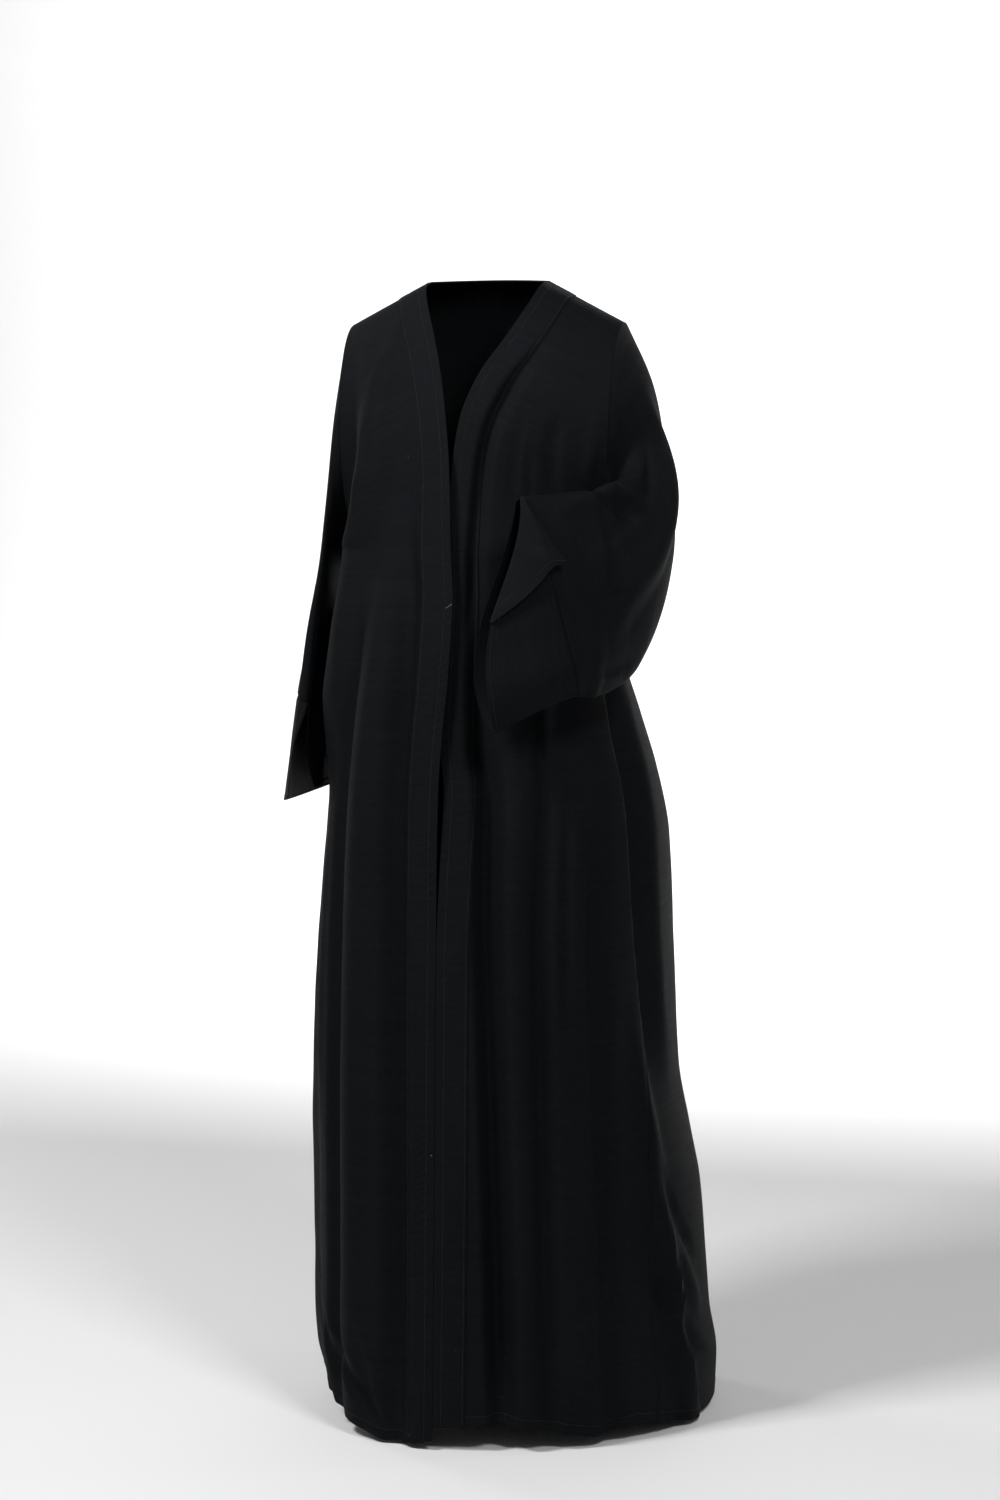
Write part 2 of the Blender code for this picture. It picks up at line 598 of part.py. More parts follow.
def make_left_cuff():
    """The raised cuff, with the outer corner of its slit turned back on itself."""
    points, normals = [], []
    around_ring = ring_angles(0) + WRIST_TWIST
    lowest = around_ring[RING_POINTS // 2]
    first = outside_angle(SLEEVE_RUN, TURN_FOLD_AT_SEAM)
    shares = (first - around_ring[:11:-1]) / (first - lowest)
    for run in cuff_runs():
        down = (run - SLEEVE_RUN) / CUFF_DEPTH
        fold_round = TURN_FOLD_AT_SEAM + (TURN_FOLD_AT_EDGE - TURN_FOLD_AT_SEAM) * down
        edge_at_seam = TURN_FOLD_AT_SEAM + TURN_WIDTH_AT_SEAM
        edge_round = edge_at_seam + (TURN_CORNER_ROUND - edge_at_seam) * down
        edge_beyond = TURN_CORNER_BEYOND * down
        row, ways = [], []
        for share in (0.0, 0.34, 0.67, 1.0):
            beyond = edge_beyond + (run - SLEEVE_RUN - edge_beyond) * share
            round_at = edge_round + (fold_round - edge_round) * share
            point, way = lifted(SLEEVE_RUN + beyond, round_at, TURN_ROLL + TURN_LIFT * down * (1 - share))
            row.append(point)
            ways.append(-way)
        roll, _ = lifted(run, fold_round - TURN_ROLL / 2, TURN_ROLL / 2)
        start = outside_angle(run, fold_round)
        outer = start + (lowest - start) * np.concatenate([[0.0], shares])
        under = np.maximum(around_ring[11::-1], WRIST_TWIST + math.radians(1.0))
        main_points, main_ways = ring(1, run, np.concatenate([outer, under]))
        inwards = main_points[0] + (row[-1] - main_points[0]) / 2 - roll
        row.append(roll)
        ways.append(inwards / np.linalg.norm(inwards))
        points.append(np.concatenate([row, main_points]))
        normals.append(np.concatenate([ways, main_ways]))
    wall("left_cuff", np.array(points), np.array(normals))


def lifted(run, distance, lift):
    """A point over the left sleeve a distance round from its top line, and the way out."""
    point, way = ring(1, run, np.array([outside_angle(run, distance)]))
    return point[0] + way[0] * lift, way[0]


def main():
    for leftover in list(bpy.data.objects):
        bpy.data.objects.remove(leftover)
    make_front(-1, "right_front")
    make_front(1, "left_front")
    make_back()
    make_sleeve(-1, "right_sleeve")
    make_sleeve(1, "left_sleeve")
    make_right_cuff()
    make_left_cuff()


main()
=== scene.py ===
# %% [markdown]
# # A long open-front abaya in black crepe
#
# The real garment is a loose robe of soft, near-black crepe. It hangs open from the
# shoulders to the ankles, with a stitched facing down each front edge and deep slit cuffs.
# This lesson dresses a finished set of solids: every cloth piece is made again as a thin,
# finely divided shell on the same shape, and then gets creases, hems, stitches and a weave.
#
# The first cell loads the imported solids. They already stand at their real size in metres,
# with +Z up and the front of the garment towards -Y, so nothing has to be fitted.

# %% Load the frame
import math
from collections import namedtuple

import bpy
import numpy as np
from mathutils import Euler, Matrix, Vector, noise


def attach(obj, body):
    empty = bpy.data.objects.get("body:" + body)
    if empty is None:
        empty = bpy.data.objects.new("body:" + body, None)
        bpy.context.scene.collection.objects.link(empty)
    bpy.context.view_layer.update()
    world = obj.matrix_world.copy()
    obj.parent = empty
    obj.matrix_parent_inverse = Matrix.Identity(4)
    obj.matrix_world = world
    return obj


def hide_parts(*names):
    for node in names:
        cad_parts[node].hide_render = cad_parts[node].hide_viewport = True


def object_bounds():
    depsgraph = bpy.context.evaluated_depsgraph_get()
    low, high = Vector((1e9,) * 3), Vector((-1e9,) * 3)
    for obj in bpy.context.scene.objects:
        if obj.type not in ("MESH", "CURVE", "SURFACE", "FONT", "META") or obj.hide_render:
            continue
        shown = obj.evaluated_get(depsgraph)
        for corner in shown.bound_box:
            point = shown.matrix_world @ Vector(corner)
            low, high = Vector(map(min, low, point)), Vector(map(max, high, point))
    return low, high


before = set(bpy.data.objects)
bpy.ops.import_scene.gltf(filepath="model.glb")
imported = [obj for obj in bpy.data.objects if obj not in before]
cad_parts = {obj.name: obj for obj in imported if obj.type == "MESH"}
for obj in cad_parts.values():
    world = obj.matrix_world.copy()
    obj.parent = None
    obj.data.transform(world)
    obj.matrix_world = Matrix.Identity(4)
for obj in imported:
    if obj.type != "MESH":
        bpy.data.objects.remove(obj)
solid_low, solid_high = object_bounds()
print("solids:", sorted(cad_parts), "height", round(solid_high.z - solid_low.z, 3))

# %% [markdown]
# ## Camera, floor and light
#
# The picture is taken from a little to the wearer's left, from above the waist, with a long
# lens. A camera can be aimed with a constraint or by angles. Angles are used here, because
# they stay exactly where they are put.

# %% Camera
CAMERA_PLACE = (1.0539, -4.1689, -0.19)
CAMERA_DOWN = math.radians(5.4)
CAMERA_ROUND = math.radians(14.0)
CAMERA_LENS = 80.64

lens = bpy.data.cameras.new("camera")
lens.lens = CAMERA_LENS
lens.sensor_width = 36.0
camera = bpy.data.objects.new("camera", lens)
camera.location = CAMERA_PLACE
camera.rotation_euler = Euler((math.pi / 2 - CAMERA_DOWN, 0.0, CAMERA_ROUND))
bpy.context.scene.collection.objects.link(camera)
bpy.context.scene.camera = camera
print("camera distance", round(Vector(CAMERA_PLACE).length, 2))

# %% [markdown]
# The floor is one pale sheet that rises behind in a wide curve, as a paper roll does in a
# studio. A flat plane would show a horizon line. The curve is a profile of points,
# pushed sideways.

# %% Floor
FLOOR_DROP = 0.004
FLOOR_HALF_WIDTH = 9.0
FLOOR_FRONT = -8.0
FLOOR_BEND_AT = 4.0
FLOOR_BEND = 2.5
FLOOR_RISE = 8.0
BEND_STEPS = 24


def studio_floor(height):
    profile = [(FLOOR_FRONT, height)]
    for step in range(BEND_STEPS + 1):
        turn = step / BEND_STEPS * math.pi / 2
        profile.append(
            (FLOOR_BEND_AT + FLOOR_BEND * math.sin(turn), height + FLOOR_BEND * (1 - math.cos(turn)))
        )
    profile.append((FLOOR_BEND_AT + FLOOR_BEND, height + FLOOR_RISE))
    points = [(x, y, z) for y, z in profile for x in (-FLOOR_HALF_WIDTH, FLOOR_HALF_WIDTH)]
    faces = [(2 * i, 2 * i + 1, 2 * i + 3, 2 * i + 2) for i in range(len(profile) - 1)]
    mesh = bpy.data.meshes.new("studio_floor")
    mesh.from_pydata(points, [], faces)
    mesh.shade_smooth()
    made = bpy.data.objects.new("studio_floor", mesh)
    bpy.context.scene.collection.objects.link(made)
    paper = bpy.data.materials.new("studio_paper")
    paper.use_nodes = True
    shader = paper.node_tree.nodes["Principled BSDF"]
    shader.inputs["Base Color"].default_value = (0.86, 0.86, 0.86, 1.0)
    shader.inputs["Roughness"].default_value = 0.9
    shader.inputs["Specular IOR Level"].default_value = 0.2
    mesh.materials.append(paper)
    return made


floor = studio_floor(solid_low.z - FLOOR_DROP)
print("floor at", round(solid_low.z - FLOOR_DROP, 3))

# %% [markdown]
# Black cloth shows its folds by soft light and shade, so the lights are broad. The key hangs
# high in front of the chest, on the picture's left, which lets the light fade towards the
# hem. A weaker fill stands on the other side, and two tall strips edge the silhouette. The
# last lamp stands behind the garment and lights the paper only.

# %% Lights
Light = namedtuple("Light", "name place aim width height power")
LIGHTS = [
    Light("key", (-1.25, -1.45, 1.25), (-0.05, 0.0, 0.00), 0.6, 0.6, 62.0),
    Light("fill", (1.35, -1.75, 1.05), (0.20, -0.1, 0.00), 0.6, 0.6, 34.0),
    Light("left_strip", (-2.2, 1.2, 0.2), (-0.2, 0.0, -0.7), 0.5, 2.4, 12.0),
    Light("right_strip", (2.4, 1.0, 0.2), (0.2, 0.0, -0.7), 0.5, 2.4, 4.0),
    Light("wall", (0.0, 2.4, 1.6), (0.0, 6.5, 0.2), 3.5, 1.6, 300.0),
]
WORLD_STRENGTH = 0.16


def studio_light(row):
    lamp = bpy.data.lights.new(row.name, "AREA")
    lamp.shape = "RECTANGLE"
    lamp.size = row.width
    lamp.size_y = row.height
    lamp.energy = row.power
    made = bpy.data.objects.new(row.name, lamp)
    made.location = row.place
    way = Vector(row.aim) - Vector(row.place)
    made.rotation_euler = way.to_track_quat("-Z", "Y").to_euler()
    bpy.context.scene.collection.objects.link(made)
    return made


for light in LIGHTS:
    studio_light(light)
world = bpy.data.worlds.new("studio")
world.use_nodes = True
world.node_tree.nodes["Background"].inputs["Color"].default_value = (1.0, 1.0, 1.0, 1.0)
world.node_tree.nodes["Background"].inputs["Strength"].default_value = WORLD_STRENGTH
bpy.context.scene.world = world
bpy.context.scene.view_settings.view_transform = "Standard"
bpy.context.scene.view_settings.look = "None"
print("lights:", [light.name for light in LIGHTS])

# %% [markdown]
# ## The cut and the drape
#
# The shape of the garment is worked out from a few sizes and short tables: where the two
# front edges run, how wide the skirt is, how the sleeves bend. Each row is one height or one
# ring. The same numbers made the solids, and they are repeated here so that the fine shell
# lies exactly on them.

# %% Sizes
LENGTH = 1.42
UNDERARM = 0.335
NECK_HALF = 0.078
SHOULDER_HALF = 0.176
NECK_SHARE = NECK_HALF / SHOULDER_HALF
BAND_WIDTH = 0.040
CUFF_DEPTH = 0.105
SLEEVE_RUN = 0.400
WALL = 0.0012
BAND_WALL = 0.0009
SEAM_GAP = 0.0003
SMALL = 1e-3
CURVE_SAMPLES = 200


def below(drop):
    """The level of a height under the underarm: levels run 0 to 1 down the yoke and 1 to 2 down the skirt."""
    return 1 + (drop - UNDERARM) / (LENGTH - UNDERARM)

# %% Front edges, sides, hem and centre back
# The two front edges, from the neck down to the hem
EdgeRow = namedtuple("EdgeRow", "level drop right_x right_y left_x left_y")
FRONT_EDGES = [
    EdgeRow(0.00, 0.000, -0.078, 0.000, 0.078, 0.000),
    EdgeRow(0.10, 0.006, -0.074, -0.034, 0.076, -0.034),
    EdgeRow(0.22, 0.030, -0.063, -0.066, 0.067, -0.064),
    EdgeRow(0.36, 0.073, -0.045, -0.097, 0.044, -0.094),
    EdgeRow(0.50, 0.118, -0.031, -0.120, 0.017, -0.119),
    EdgeRow(0.65, 0.175, -0.019, -0.141, -0.003, -0.138),
    EdgeRow(0.80, 0.235, -0.011, -0.156, -0.010, -0.147),
    EdgeRow(1.00, 0.335, -0.003, -0.179, -0.012, -0.167),
    EdgeRow(below(0.40), 0.400, 0.003, -0.193, -0.008, -0.181),
    EdgeRow(below(0.48), 0.480, 0.001, -0.206, -0.009, -0.194),
    EdgeRow(below(0.57), 0.570, -0.006, -0.214, -0.010, -0.203),
    EdgeRow(below(0.63), 0.630, -0.009, -0.218, -0.004, -0.209),
    EdgeRow(below(0.72), 0.720, -0.010, -0.222, -0.007, -0.218),
    EdgeRow(below(0.82), 0.820, -0.010, -0.227, -0.0094, -0.2265),
    EdgeRow(below(1.10), 1.100, -0.010, -0.236, -0.0094, -0.236),
    EdgeRow(below(1.42), 1.420, -0.011, -0.245, -0.0104, -0.245),
]

# The widest points of the skirt, and how far round the front the side seams lie
SideRow = namedtuple("SideRow", "level right_x right_y left_x left_y right_seam left_seam fullness")
SIDES = [
    SideRow(1.00, -0.170, 0.000, 0.170, 0.000, 1.00, 1.00, 2.00),
    SideRow(below(0.37), -0.172, 0.000, 0.166, 0.000, 1.00, 0.96, 2.05),
    SideRow(below(0.41), -0.176, 0.000, 0.163, 0.000, 1.00, 0.90, 2.15),
    SideRow(below(0.47), -0.180, 0.000, 0.172, 0.004, 1.00, 0.82, 2.25),
    SideRow(below(0.54), -0.186, 0.000, 0.192, 0.010, 1.00, 0.76, 2.30),
    SideRow(below(0.61), -0.194, 0.000, 0.212, 0.018, 1.00, 0.74, 2.30),
    SideRow(below(0.70), -0.204, 0.002, 0.228, 0.026, 1.00, 0.73, 2.30),
    SideRow(below(0.86), -0.216, 0.005, 0.234, 0.034, 1.01, 0.73, 2.30),
    SideRow(below(1.00), -0.223, 0.008, 0.239, 0.040, 1.02, 0.70, 2.25),
    SideRow(below(1.08), -0.226, 0.010, 0.253, 0.042, 1.02, 0.68, 2.20),
    SideRow(below(1.16), -0.226, 0.010, 0.268, 0.044, 1.02, 0.66, 2.15),
    SideRow(below(1.25), -0.224, 0.010, 0.275, 0.046, 1.02, 0.65, 2.15),
    SideRow(below(1.31), -0.224, 0.010, 0.280, 0.048, 1.02, 0.64, 2.15),
    SideRow(below(1.37), -0.220, 0.010, 0.290, 0.048, 1.02, 0.64, 2.15),
    SideRow(below(1.42), -0.207, 0.010, 0.288, 0.048, 1.02, 0.64, 2.15),
]

# How far the hem hangs below its nominal height, by share of the way round to the centre back
HemRow = namedtuple("HemRow", "place right left")
HEM_DROP = [
    HemRow(0.00, 0.014, -0.001),
    HemRow(0.05, 0.021, -0.006),
    HemRow(0.10, 0.022, -0.008),
    HemRow(0.16, 0.012, 0.000),
    HemRow(0.24, 0.001, 0.013),
    HemRow(0.31, -0.008, 0.005),
    HemRow(0.44, -0.025, 0.022),
    HemRow(0.52, -0.020, 0.023),
    HemRow(0.70, -0.008, 0.010),
    HemRow(1.00, 0.000, 0.000),
]
HEM_START = 1.20

# The centre of the back, from the neck down to the hem
BackRow = namedtuple("BackRow", "level drop y")
CENTRE_BACK = [
    BackRow(0.00, -0.004, 0.050),
    BackRow(0.12, 0.014, 0.079),
    BackRow(0.28, 0.055, 0.101),
    BackRow(0.50, 0.130, 0.117),
    BackRow(0.75, 0.230, 0.122),
    BackRow(1.00, 0.335, 0.124),
    BackRow(below(0.50), 0.500, 0.136),
    BackRow(below(0.80), 0.800, 0.175),
    BackRow(below(1.10), 1.100, 0.208),
    BackRow(below(1.42), 1.420, 0.240),
]
print("rows:", len(FRONT_EDGES), len(SIDES), len(HEM_DROP), len(CENTRE_BACK))

# %% The large folds
# Folds. At, middle_at and stop_at say where the fold lies, in metres round from the front
# edge, or round from the centre back with the wearer's left positive. Depth is outwards.
Fold = namedtuple("Fold", "start stop at middle_at stop_at near_width far_width depth")
RIGHT_FOLDS = [
    Fold(0.14, 1.60, 0.064, 0.054, 0.046, 0.024, 0.032, -0.020),
    Fold(0.16, 1.60, 0.106, 0.119, 0.124, 0.034, 0.034, 0.008),
    Fold(0.24, 1.60, 0.150, 0.158, 0.160, 0.022, 0.026, -0.012),
    Fold(0.02, 0.66, 0.088, 0.165, 0.240, 0.060, 0.030, 0.024),
    Fold(0.62, 1.60, 0.225, 0.235, 0.245, 0.035, 0.035, -0.006),
    Fold(1.28, 1.60, 0.235, 0.190, 0.140, 0.018, 0.026, -0.010),
]
LEFT_FOLDS = [
    Fold(0.02, 0.46, 0.044, 0.035, 0.028, 0.010, 0.022, -0.011),
    Fold(0.30, 1.60, 0.032, 0.066, 0.088, 0.020, 0.030, -0.022),
    Fold(0.36, 1.60, 0.085, 0.100, 0.125, 0.026, 0.022, 0.007),
    Fold(0.17, 1.60, 0.128, 0.130, 0.160, 0.020, 0.024, -0.011),
    Fold(0.50, 1.60, 0.190, 0.215, 0.240, 0.024, 0.030, -0.010),
    Fold(0.42, 1.05, 0.232, 0.280, 0.330, 0.022, 0.060, -0.028),
    Fold(0.86, 1.60, 0.265, 0.330, 0.390, 0.022, 0.030, 0.010),
    Fold(1.08, 1.60, 0.275, 0.360, 0.440, 0.020, 0.024, 0.008),
]
BACK_FOLDS = [
    Fold(0.34, 1.60, -0.225, -0.248, -0.265, 0.034, 0.034, -0.012),
    Fold(0.26, 1.60, -0.140, -0.152, -0.160, 0.032, 0.040, -0.018),
    Fold(0.40, 1.60, -0.085, -0.096, -0.105, 0.026, 0.026, 0.010),
    Fold(0.22, 1.60, -0.022, -0.020, -0.030, 0.036, 0.036, -0.014),
    Fold(0.30, 1.60, 0.050, 0.058, 0.060, 0.034, 0.034, 0.012),
    Fold(0.28, 1.60, 0.115, 0.128, 0.135, 0.030, 0.044, -0.020),
    Fold(0.45, 1.60, 0.200, 0.212, 0.230, 0.034, 0.034, -0.012),
]
print("large folds:", len(RIGHT_FOLDS) + len(LEFT_FOLDS) + len(BACK_FOLDS))

# %% The sleeves
# The sleeves, ring by ring from the armhole to the cuff's edge. Top is the ring's highest
# point and low its lowest. Turn swings the ring's front side towards the wearer's middle,
# twist rolls the cloth round the bent arm, and bow draws the ring's sides on along the sleeve.
RingRow = namedtuple("RingRow", "run top_x top_y top_z low_x low_y low_z thick turn twist taper bow")
RIGHT_RINGS = [
    RingRow(0.000, 0.176, 0.000, -0.052, 0.170, 0.000, -0.335, 0.170, 0, 0, 0.0, 0.0),
    RingRow(0.055, 0.184, 0.000, -0.115, 0.182, 0.000, -0.352, 0.172, 0, 0, 0.0, 0.0),
    RingRow(0.110, 0.191, 0.004, -0.185, 0.188, 0.004, -0.370, 0.175, 0, 0, 0.0, 0.0),
    RingRow(0.170, 0.200, 0.008, -0.260, 0.190, 0.008, -0.390, 0.180, 0, 0, 0.0, 0.0),
    RingRow(0.230, 0.211, 0.012, -0.335, 0.191, 0.012, -0.416, 0.188, 0, 0, 0.0, 0.0),
    RingRow(0.290, 0.228, 0.015, -0.410, 0.192, 0.015, -0.452, 0.198, 0, 0, 0.0, 0.0),
    RingRow(0.345, 0.240, 0.017, -0.475, 0.194, 0.017, -0.492, 0.206, 0, 0, 0.0, 0.0),
    RingRow(0.400, 0.249, 0.018, -0.527, 0.198, 0.018, -0.535, 0.212, 0, 0, 0.0, 0.0),
    RingRow(0.505, 0.262, 0.012, -0.664, 0.206, 0.020, -0.640, 0.245, 0, 0, 0.0, 0.0),
]
LEFT_RINGS = [
    RingRow(0.000, 0.176, 0.000, -0.052, 0.170, 0.000, -0.335, 0.170, 0, 0, 0.0, 0.0),
    RingRow(0.055, 0.199, -0.001, -0.109, 0.190, -0.006, -0.375, 0.139, -12, 12, 0.0, 0.0),
    RingRow(0.110, 0.210, -0.019, -0.165, 0.205, -0.041, -0.415, 0.104, -24, 39, 0.05, 0.0),
    RingRow(0.165, 0.217, -0.058, -0.212, 0.216, -0.093, -0.452, 0.080, -60, 60, 0.15, 0.0),
    RingRow(0.220, 0.207, -0.092, -0.240, 0.213, -0.130, -0.484, 0.074, -98, 80, 0.25, 0.0),
    RingRow(0.280, 0.176, -0.147, -0.255, 0.199, -0.170, -0.502, 0.072, -120, 88, 0.30, 0.0),
    RingRow(0.340, 0.139, -0.203, -0.263, 0.184, -0.202, -0.508, 0.068, -138, 90, 0.30, 0.0),
    RingRow(0.400, 0.1035, -0.2535, -0.268, 0.167, -0.228, -0.508, 0.060, -150, 90, 0.25, 0.0),
    RingRow(0.505, 0.0985, -0.262, -0.274, 0.0695, -0.256, -0.5505, 0.042, -150, 90, -0.9, 0.021),
]
WRIST_TWIST = math.radians(90)

# Sleeve folds: the same columns, with degrees round the ring and distances along the sleeve
RIGHT_SLEEVE_FOLDS = [
    Fold(0.06, 0.60, 30, 50, 62, 26, 30, -0.008),
    Fold(0.20, 0.60, 84, 94, 100, 22, 26, 0.007),
    Fold(0.20, 0.60, 130, 126, 122, 24, 24, -0.007),
    Fold(0.10, 0.60, 320, 300, 288, 30, 30, -0.009),
    Fold(0.20, 0.60, 250, 248, 246, 26, 26, 0.007),
]
LEFT_SLEEVE_FOLDS = [
    Fold(0.06, 0.34, 390, 372, 340, 26, 26, 0.010),
    Fold(0.12, 0.35, 425, 408, 390, 16, 22, -0.009),
    Fold(0.20, 0.37, 442, 430, 418, 14, 16, 0.006),
    Fold(0.24, 0.60, 318, 316, 312, 30, 30, 0.006),
    Fold(0.10, 0.40, 160, 165, 170, 30, 30, -0.008),
]
print("rings:", len(RIGHT_RINGS), len(LEFT_RINGS))

# %% The cuffs
# The slits in the cuffs: degrees round the ring, and how far the right one stands open
RIGHT_SLIT = 104
RIGHT_SLIT_OPEN = 34
# The left cuff's turned-back corner, in metres round from the slit and beyond the seam
TURN_FOLD_AT_SEAM = 0.007
TURN_FOLD_AT_EDGE = 0.146
TURN_WIDTH_AT_SEAM = 0.010
TURN_CORNER_ROUND = 0.098
TURN_CORNER_BEYOND = -0.030
TURN_ROLL = 0.0046
TURN_LIFT = 0.010
TURN_FOLD_BEND = 4
TURN_EDGE_BOW = 0.0135
TURN_CREASE_HEIGHT = 0.0028
TURN_CREASE_WIDTH = 0.06
TURN_CREASE_FALL = 0.23
print("cuff depth", CUFF_DEPTH)

# %% [markdown]
# ## Creases
#
# The tables above hold the folds that can be seen from across a room. Closer up, cloth also
# has short soft creases that run askew. Each is a bent line on the flat cloth, from start
# through middle to stop, with a width to either side and a depth. They could be sculpted or
# simulated. Placing them one by one puts each where the real one is, and makes the others, round
# the back, of the same kind.

# %% Crease tables
Crease = namedtuple("Crease", "start middle stop near far depth")
RIGHT_CREASES = [
    Crease((0.030, 0.030), (0.088, 0.092), (0.122, 0.165), 0.020, 0.030, 0.004),
    Crease((0.122, 0.165), (0.150, 0.240), (0.168, 0.360), 0.022, 0.022, 0.003),
    Crease((0.060, 0.060), (0.098, 0.120), (0.118, 0.250), 0.010, 0.014, -0.003),
    Crease((0.178, 1.30), (0.120, 1.365), (0.052, 1.416), 0.012, 0.022, -0.007),
    Crease((0.246, 1.24), (0.205, 1.320), (0.150, 1.385), 0.014, 0.024, -0.007),
    Crease((0.120, 1.27), (0.080, 1.350), (0.060, 1.420), 0.014, 0.018, 0.004),
    Crease((0.020, 1.300), (0.028, 1.370), (0.034, 1.430), 0.012, 0.014, -0.003),
    Crease((0.030, 0.45), (0.034, 0.62), (0.028, 0.80), 0.012, 0.016, -0.0025),
    Crease((0.190, 0.62), (0.205, 0.85), (0.200, 1.10), 0.014, 0.020, 0.004),
    Crease((0.272, 0.50), (0.285, 0.80), (0.300, 1.20), 0.020, 0.020, -0.005),
]
LEFT_CREASES = [
    Crease((0.110, 0.110), (0.126, 0.165), (0.142, 0.225), 0.014, 0.020, -0.0028),
    Crease((0.074, 0.120), (0.080, 0.190), (0.083, 0.260), 0.011, 0.014, -0.0014),
    Crease((0.098, 0.170), (0.104, 0.210), (0.112, 0.262), 0.009, 0.013, -0.0015),
    Crease((0.150, 0.080), (0.170, 0.130), (0.180, 0.190), 0.012, 0.018, 0.003),
    Crease((0.300, 1.060), (0.345, 1.175), (0.415, 1.240), 0.016, 0.026, -0.006),
    Crease((0.290, 1.205), (0.345, 1.300), (0.450, 1.365), 0.018, 0.028, -0.007),
    Crease((0.330, 1.130), (0.375, 1.245), (0.440, 1.310), 0.020, 0.022, 0.005),
    Crease((0.150, 0.560), (0.160, 0.760), (0.168, 1.000), 0.014, 0.018, -0.004),
    Crease((0.170, 1.200), (0.185, 1.320), (0.205, 1.430), 0.016, 0.018, 0.005),
]
RIGHT_SLEEVE_CREASES = [
    Crease((334, 0.060), (340, 0.105), (348, 0.150), 0.012, 0.016, -0.004),
    Crease((18, 0.070), (20, 0.120), (26, 0.190), 0.010, 0.014, -0.004),
    Crease((60, 0.220), (52, 0.290), (40, 0.360), 0.012, 0.016, 0.004),
    Crease((110, 0.240), (118, 0.310), (112, 0.380), 0.010, 0.014, -0.004),
    Crease((200, 0.120), (225, 0.200), (235, 0.300), 0.016, 0.020, -0.004),
]
LEFT_SLEEVE_CREASES = [
    Crease((72, 0.298), (52, 0.278), (30, 0.252), 0.007, 0.012, -0.007),
    Crease((86, 0.300), (66, 0.270), (44, 0.236), 0.010, 0.012, 0.006),
    Crease((62, 0.292), (54, 0.288), (44, 0.285), 0.004, 0.005, -0.002),
    Crease((40, 0.320), (20, 0.300), (356, 0.262), 0.014, 0.020, -0.004),
    Crease((8, 0.392), (356, 0.330), (344, 0.270), 0.022, 0.028, 0.003),
    Crease((322, 0.390), (312, 0.330), (306, 0.250), 0.014, 0.018, -0.004),
    Crease((120, 0.130), (140, 0.150), (165, 0.160), 0.012, 0.012, -0.003),
    Crease((220, 0.150), (245, 0.230), (262, 0.320), 0.018, 0.020, -0.004),
]
CREASE_SAMPLES = 32
RING_METRES = 0.0014
print("creases:", len(RIGHT_CREASES) + len(LEFT_CREASES))

# %% [markdown]
# ## Curves
#
# A table gives a few heights, and the cloth needs hundreds. The helpers below run a curve
# through a column of a table, make a fold from a cosine bump, and close a ring round a sleeve.
# A spline modifier would do this too, but with functions each point knows where it lies on
# the flat cloth, and that is what the weave, the stitches and the creases need.

# %% Curve helpers
def eased(share):
    """0 to 1 with a soft start and end."""
    share = np.clip(share, 0.0, 1.0)
    return share * share * (3 - 2 * share)


def through(rows, column, at):
    """One column of a table at a key between its rows, on a curve that never overshoots them."""
    keys = [row[0] for row in rows]
    values = [getattr(row, column) for row in rows]
    steps = [b - a for a, b in zip(keys, keys[1:])]
    slopes = [(b - a) / h for a, b, h in zip(values, values[1:], steps)]
    ends = [slopes[0]]
    for before, after, h0, h1 in zip(slopes, slopes[1:], steps, steps[1:]):
        if before * after <= 0:
            ends.append(0.0)
        else:
            w0, w1 = 2 * h1 + h0, h1 + 2 * h0
            ends.append((w0 + w1) / (w0 / before + w1 / after))
    ends.append(slopes[-1])
    i = min(max(sum(key <= at for key in keys) - 1, 0), len(steps) - 1)
    h = steps[i]
    t = (at - keys[i]) / h
    return (
        values[i] * (2 * t**3 - 3 * t**2 + 1)
        + h * ends[i] * (t**3 - 2 * t**2 + t)
        + values[i + 1] * (3 * t**2 - 2 * t**3)
        + h * ends[i + 1] * (t**3 - t**2)
    )


def bump(distance, near, far):
    """A soft ridge 1 high, reaching near one way and far the other."""
    reach = np.where(distance < 0, near, far)
    return np.where(np.abs(distance) < reach, 0.5 + 0.5 * np.cos(np.pi * distance / reach), 0.0)


def fold_depth(folds, along, place):
    """How far the folds push the cloth out at these places, at one distance along them."""
    pushed = np.zeros_like(place)
    for fold in folds:
        share = (along - fold.start) / (fold.stop - fold.start)
        if not 0 < share < 1:
            continue
        centre = (
            fold.at * (1 - share) * (1 - 2 * share)
            + fold.middle_at * 4 * share * (1 - share)
            + fold.stop_at * share * (2 * share - 1)
        )
        strength = fold.depth * eased(share * 3.5) * eased((1 - share) * 4)
        pushed += strength * bump(place - centre, fold.near_width, fold.far_width)
    return pushed

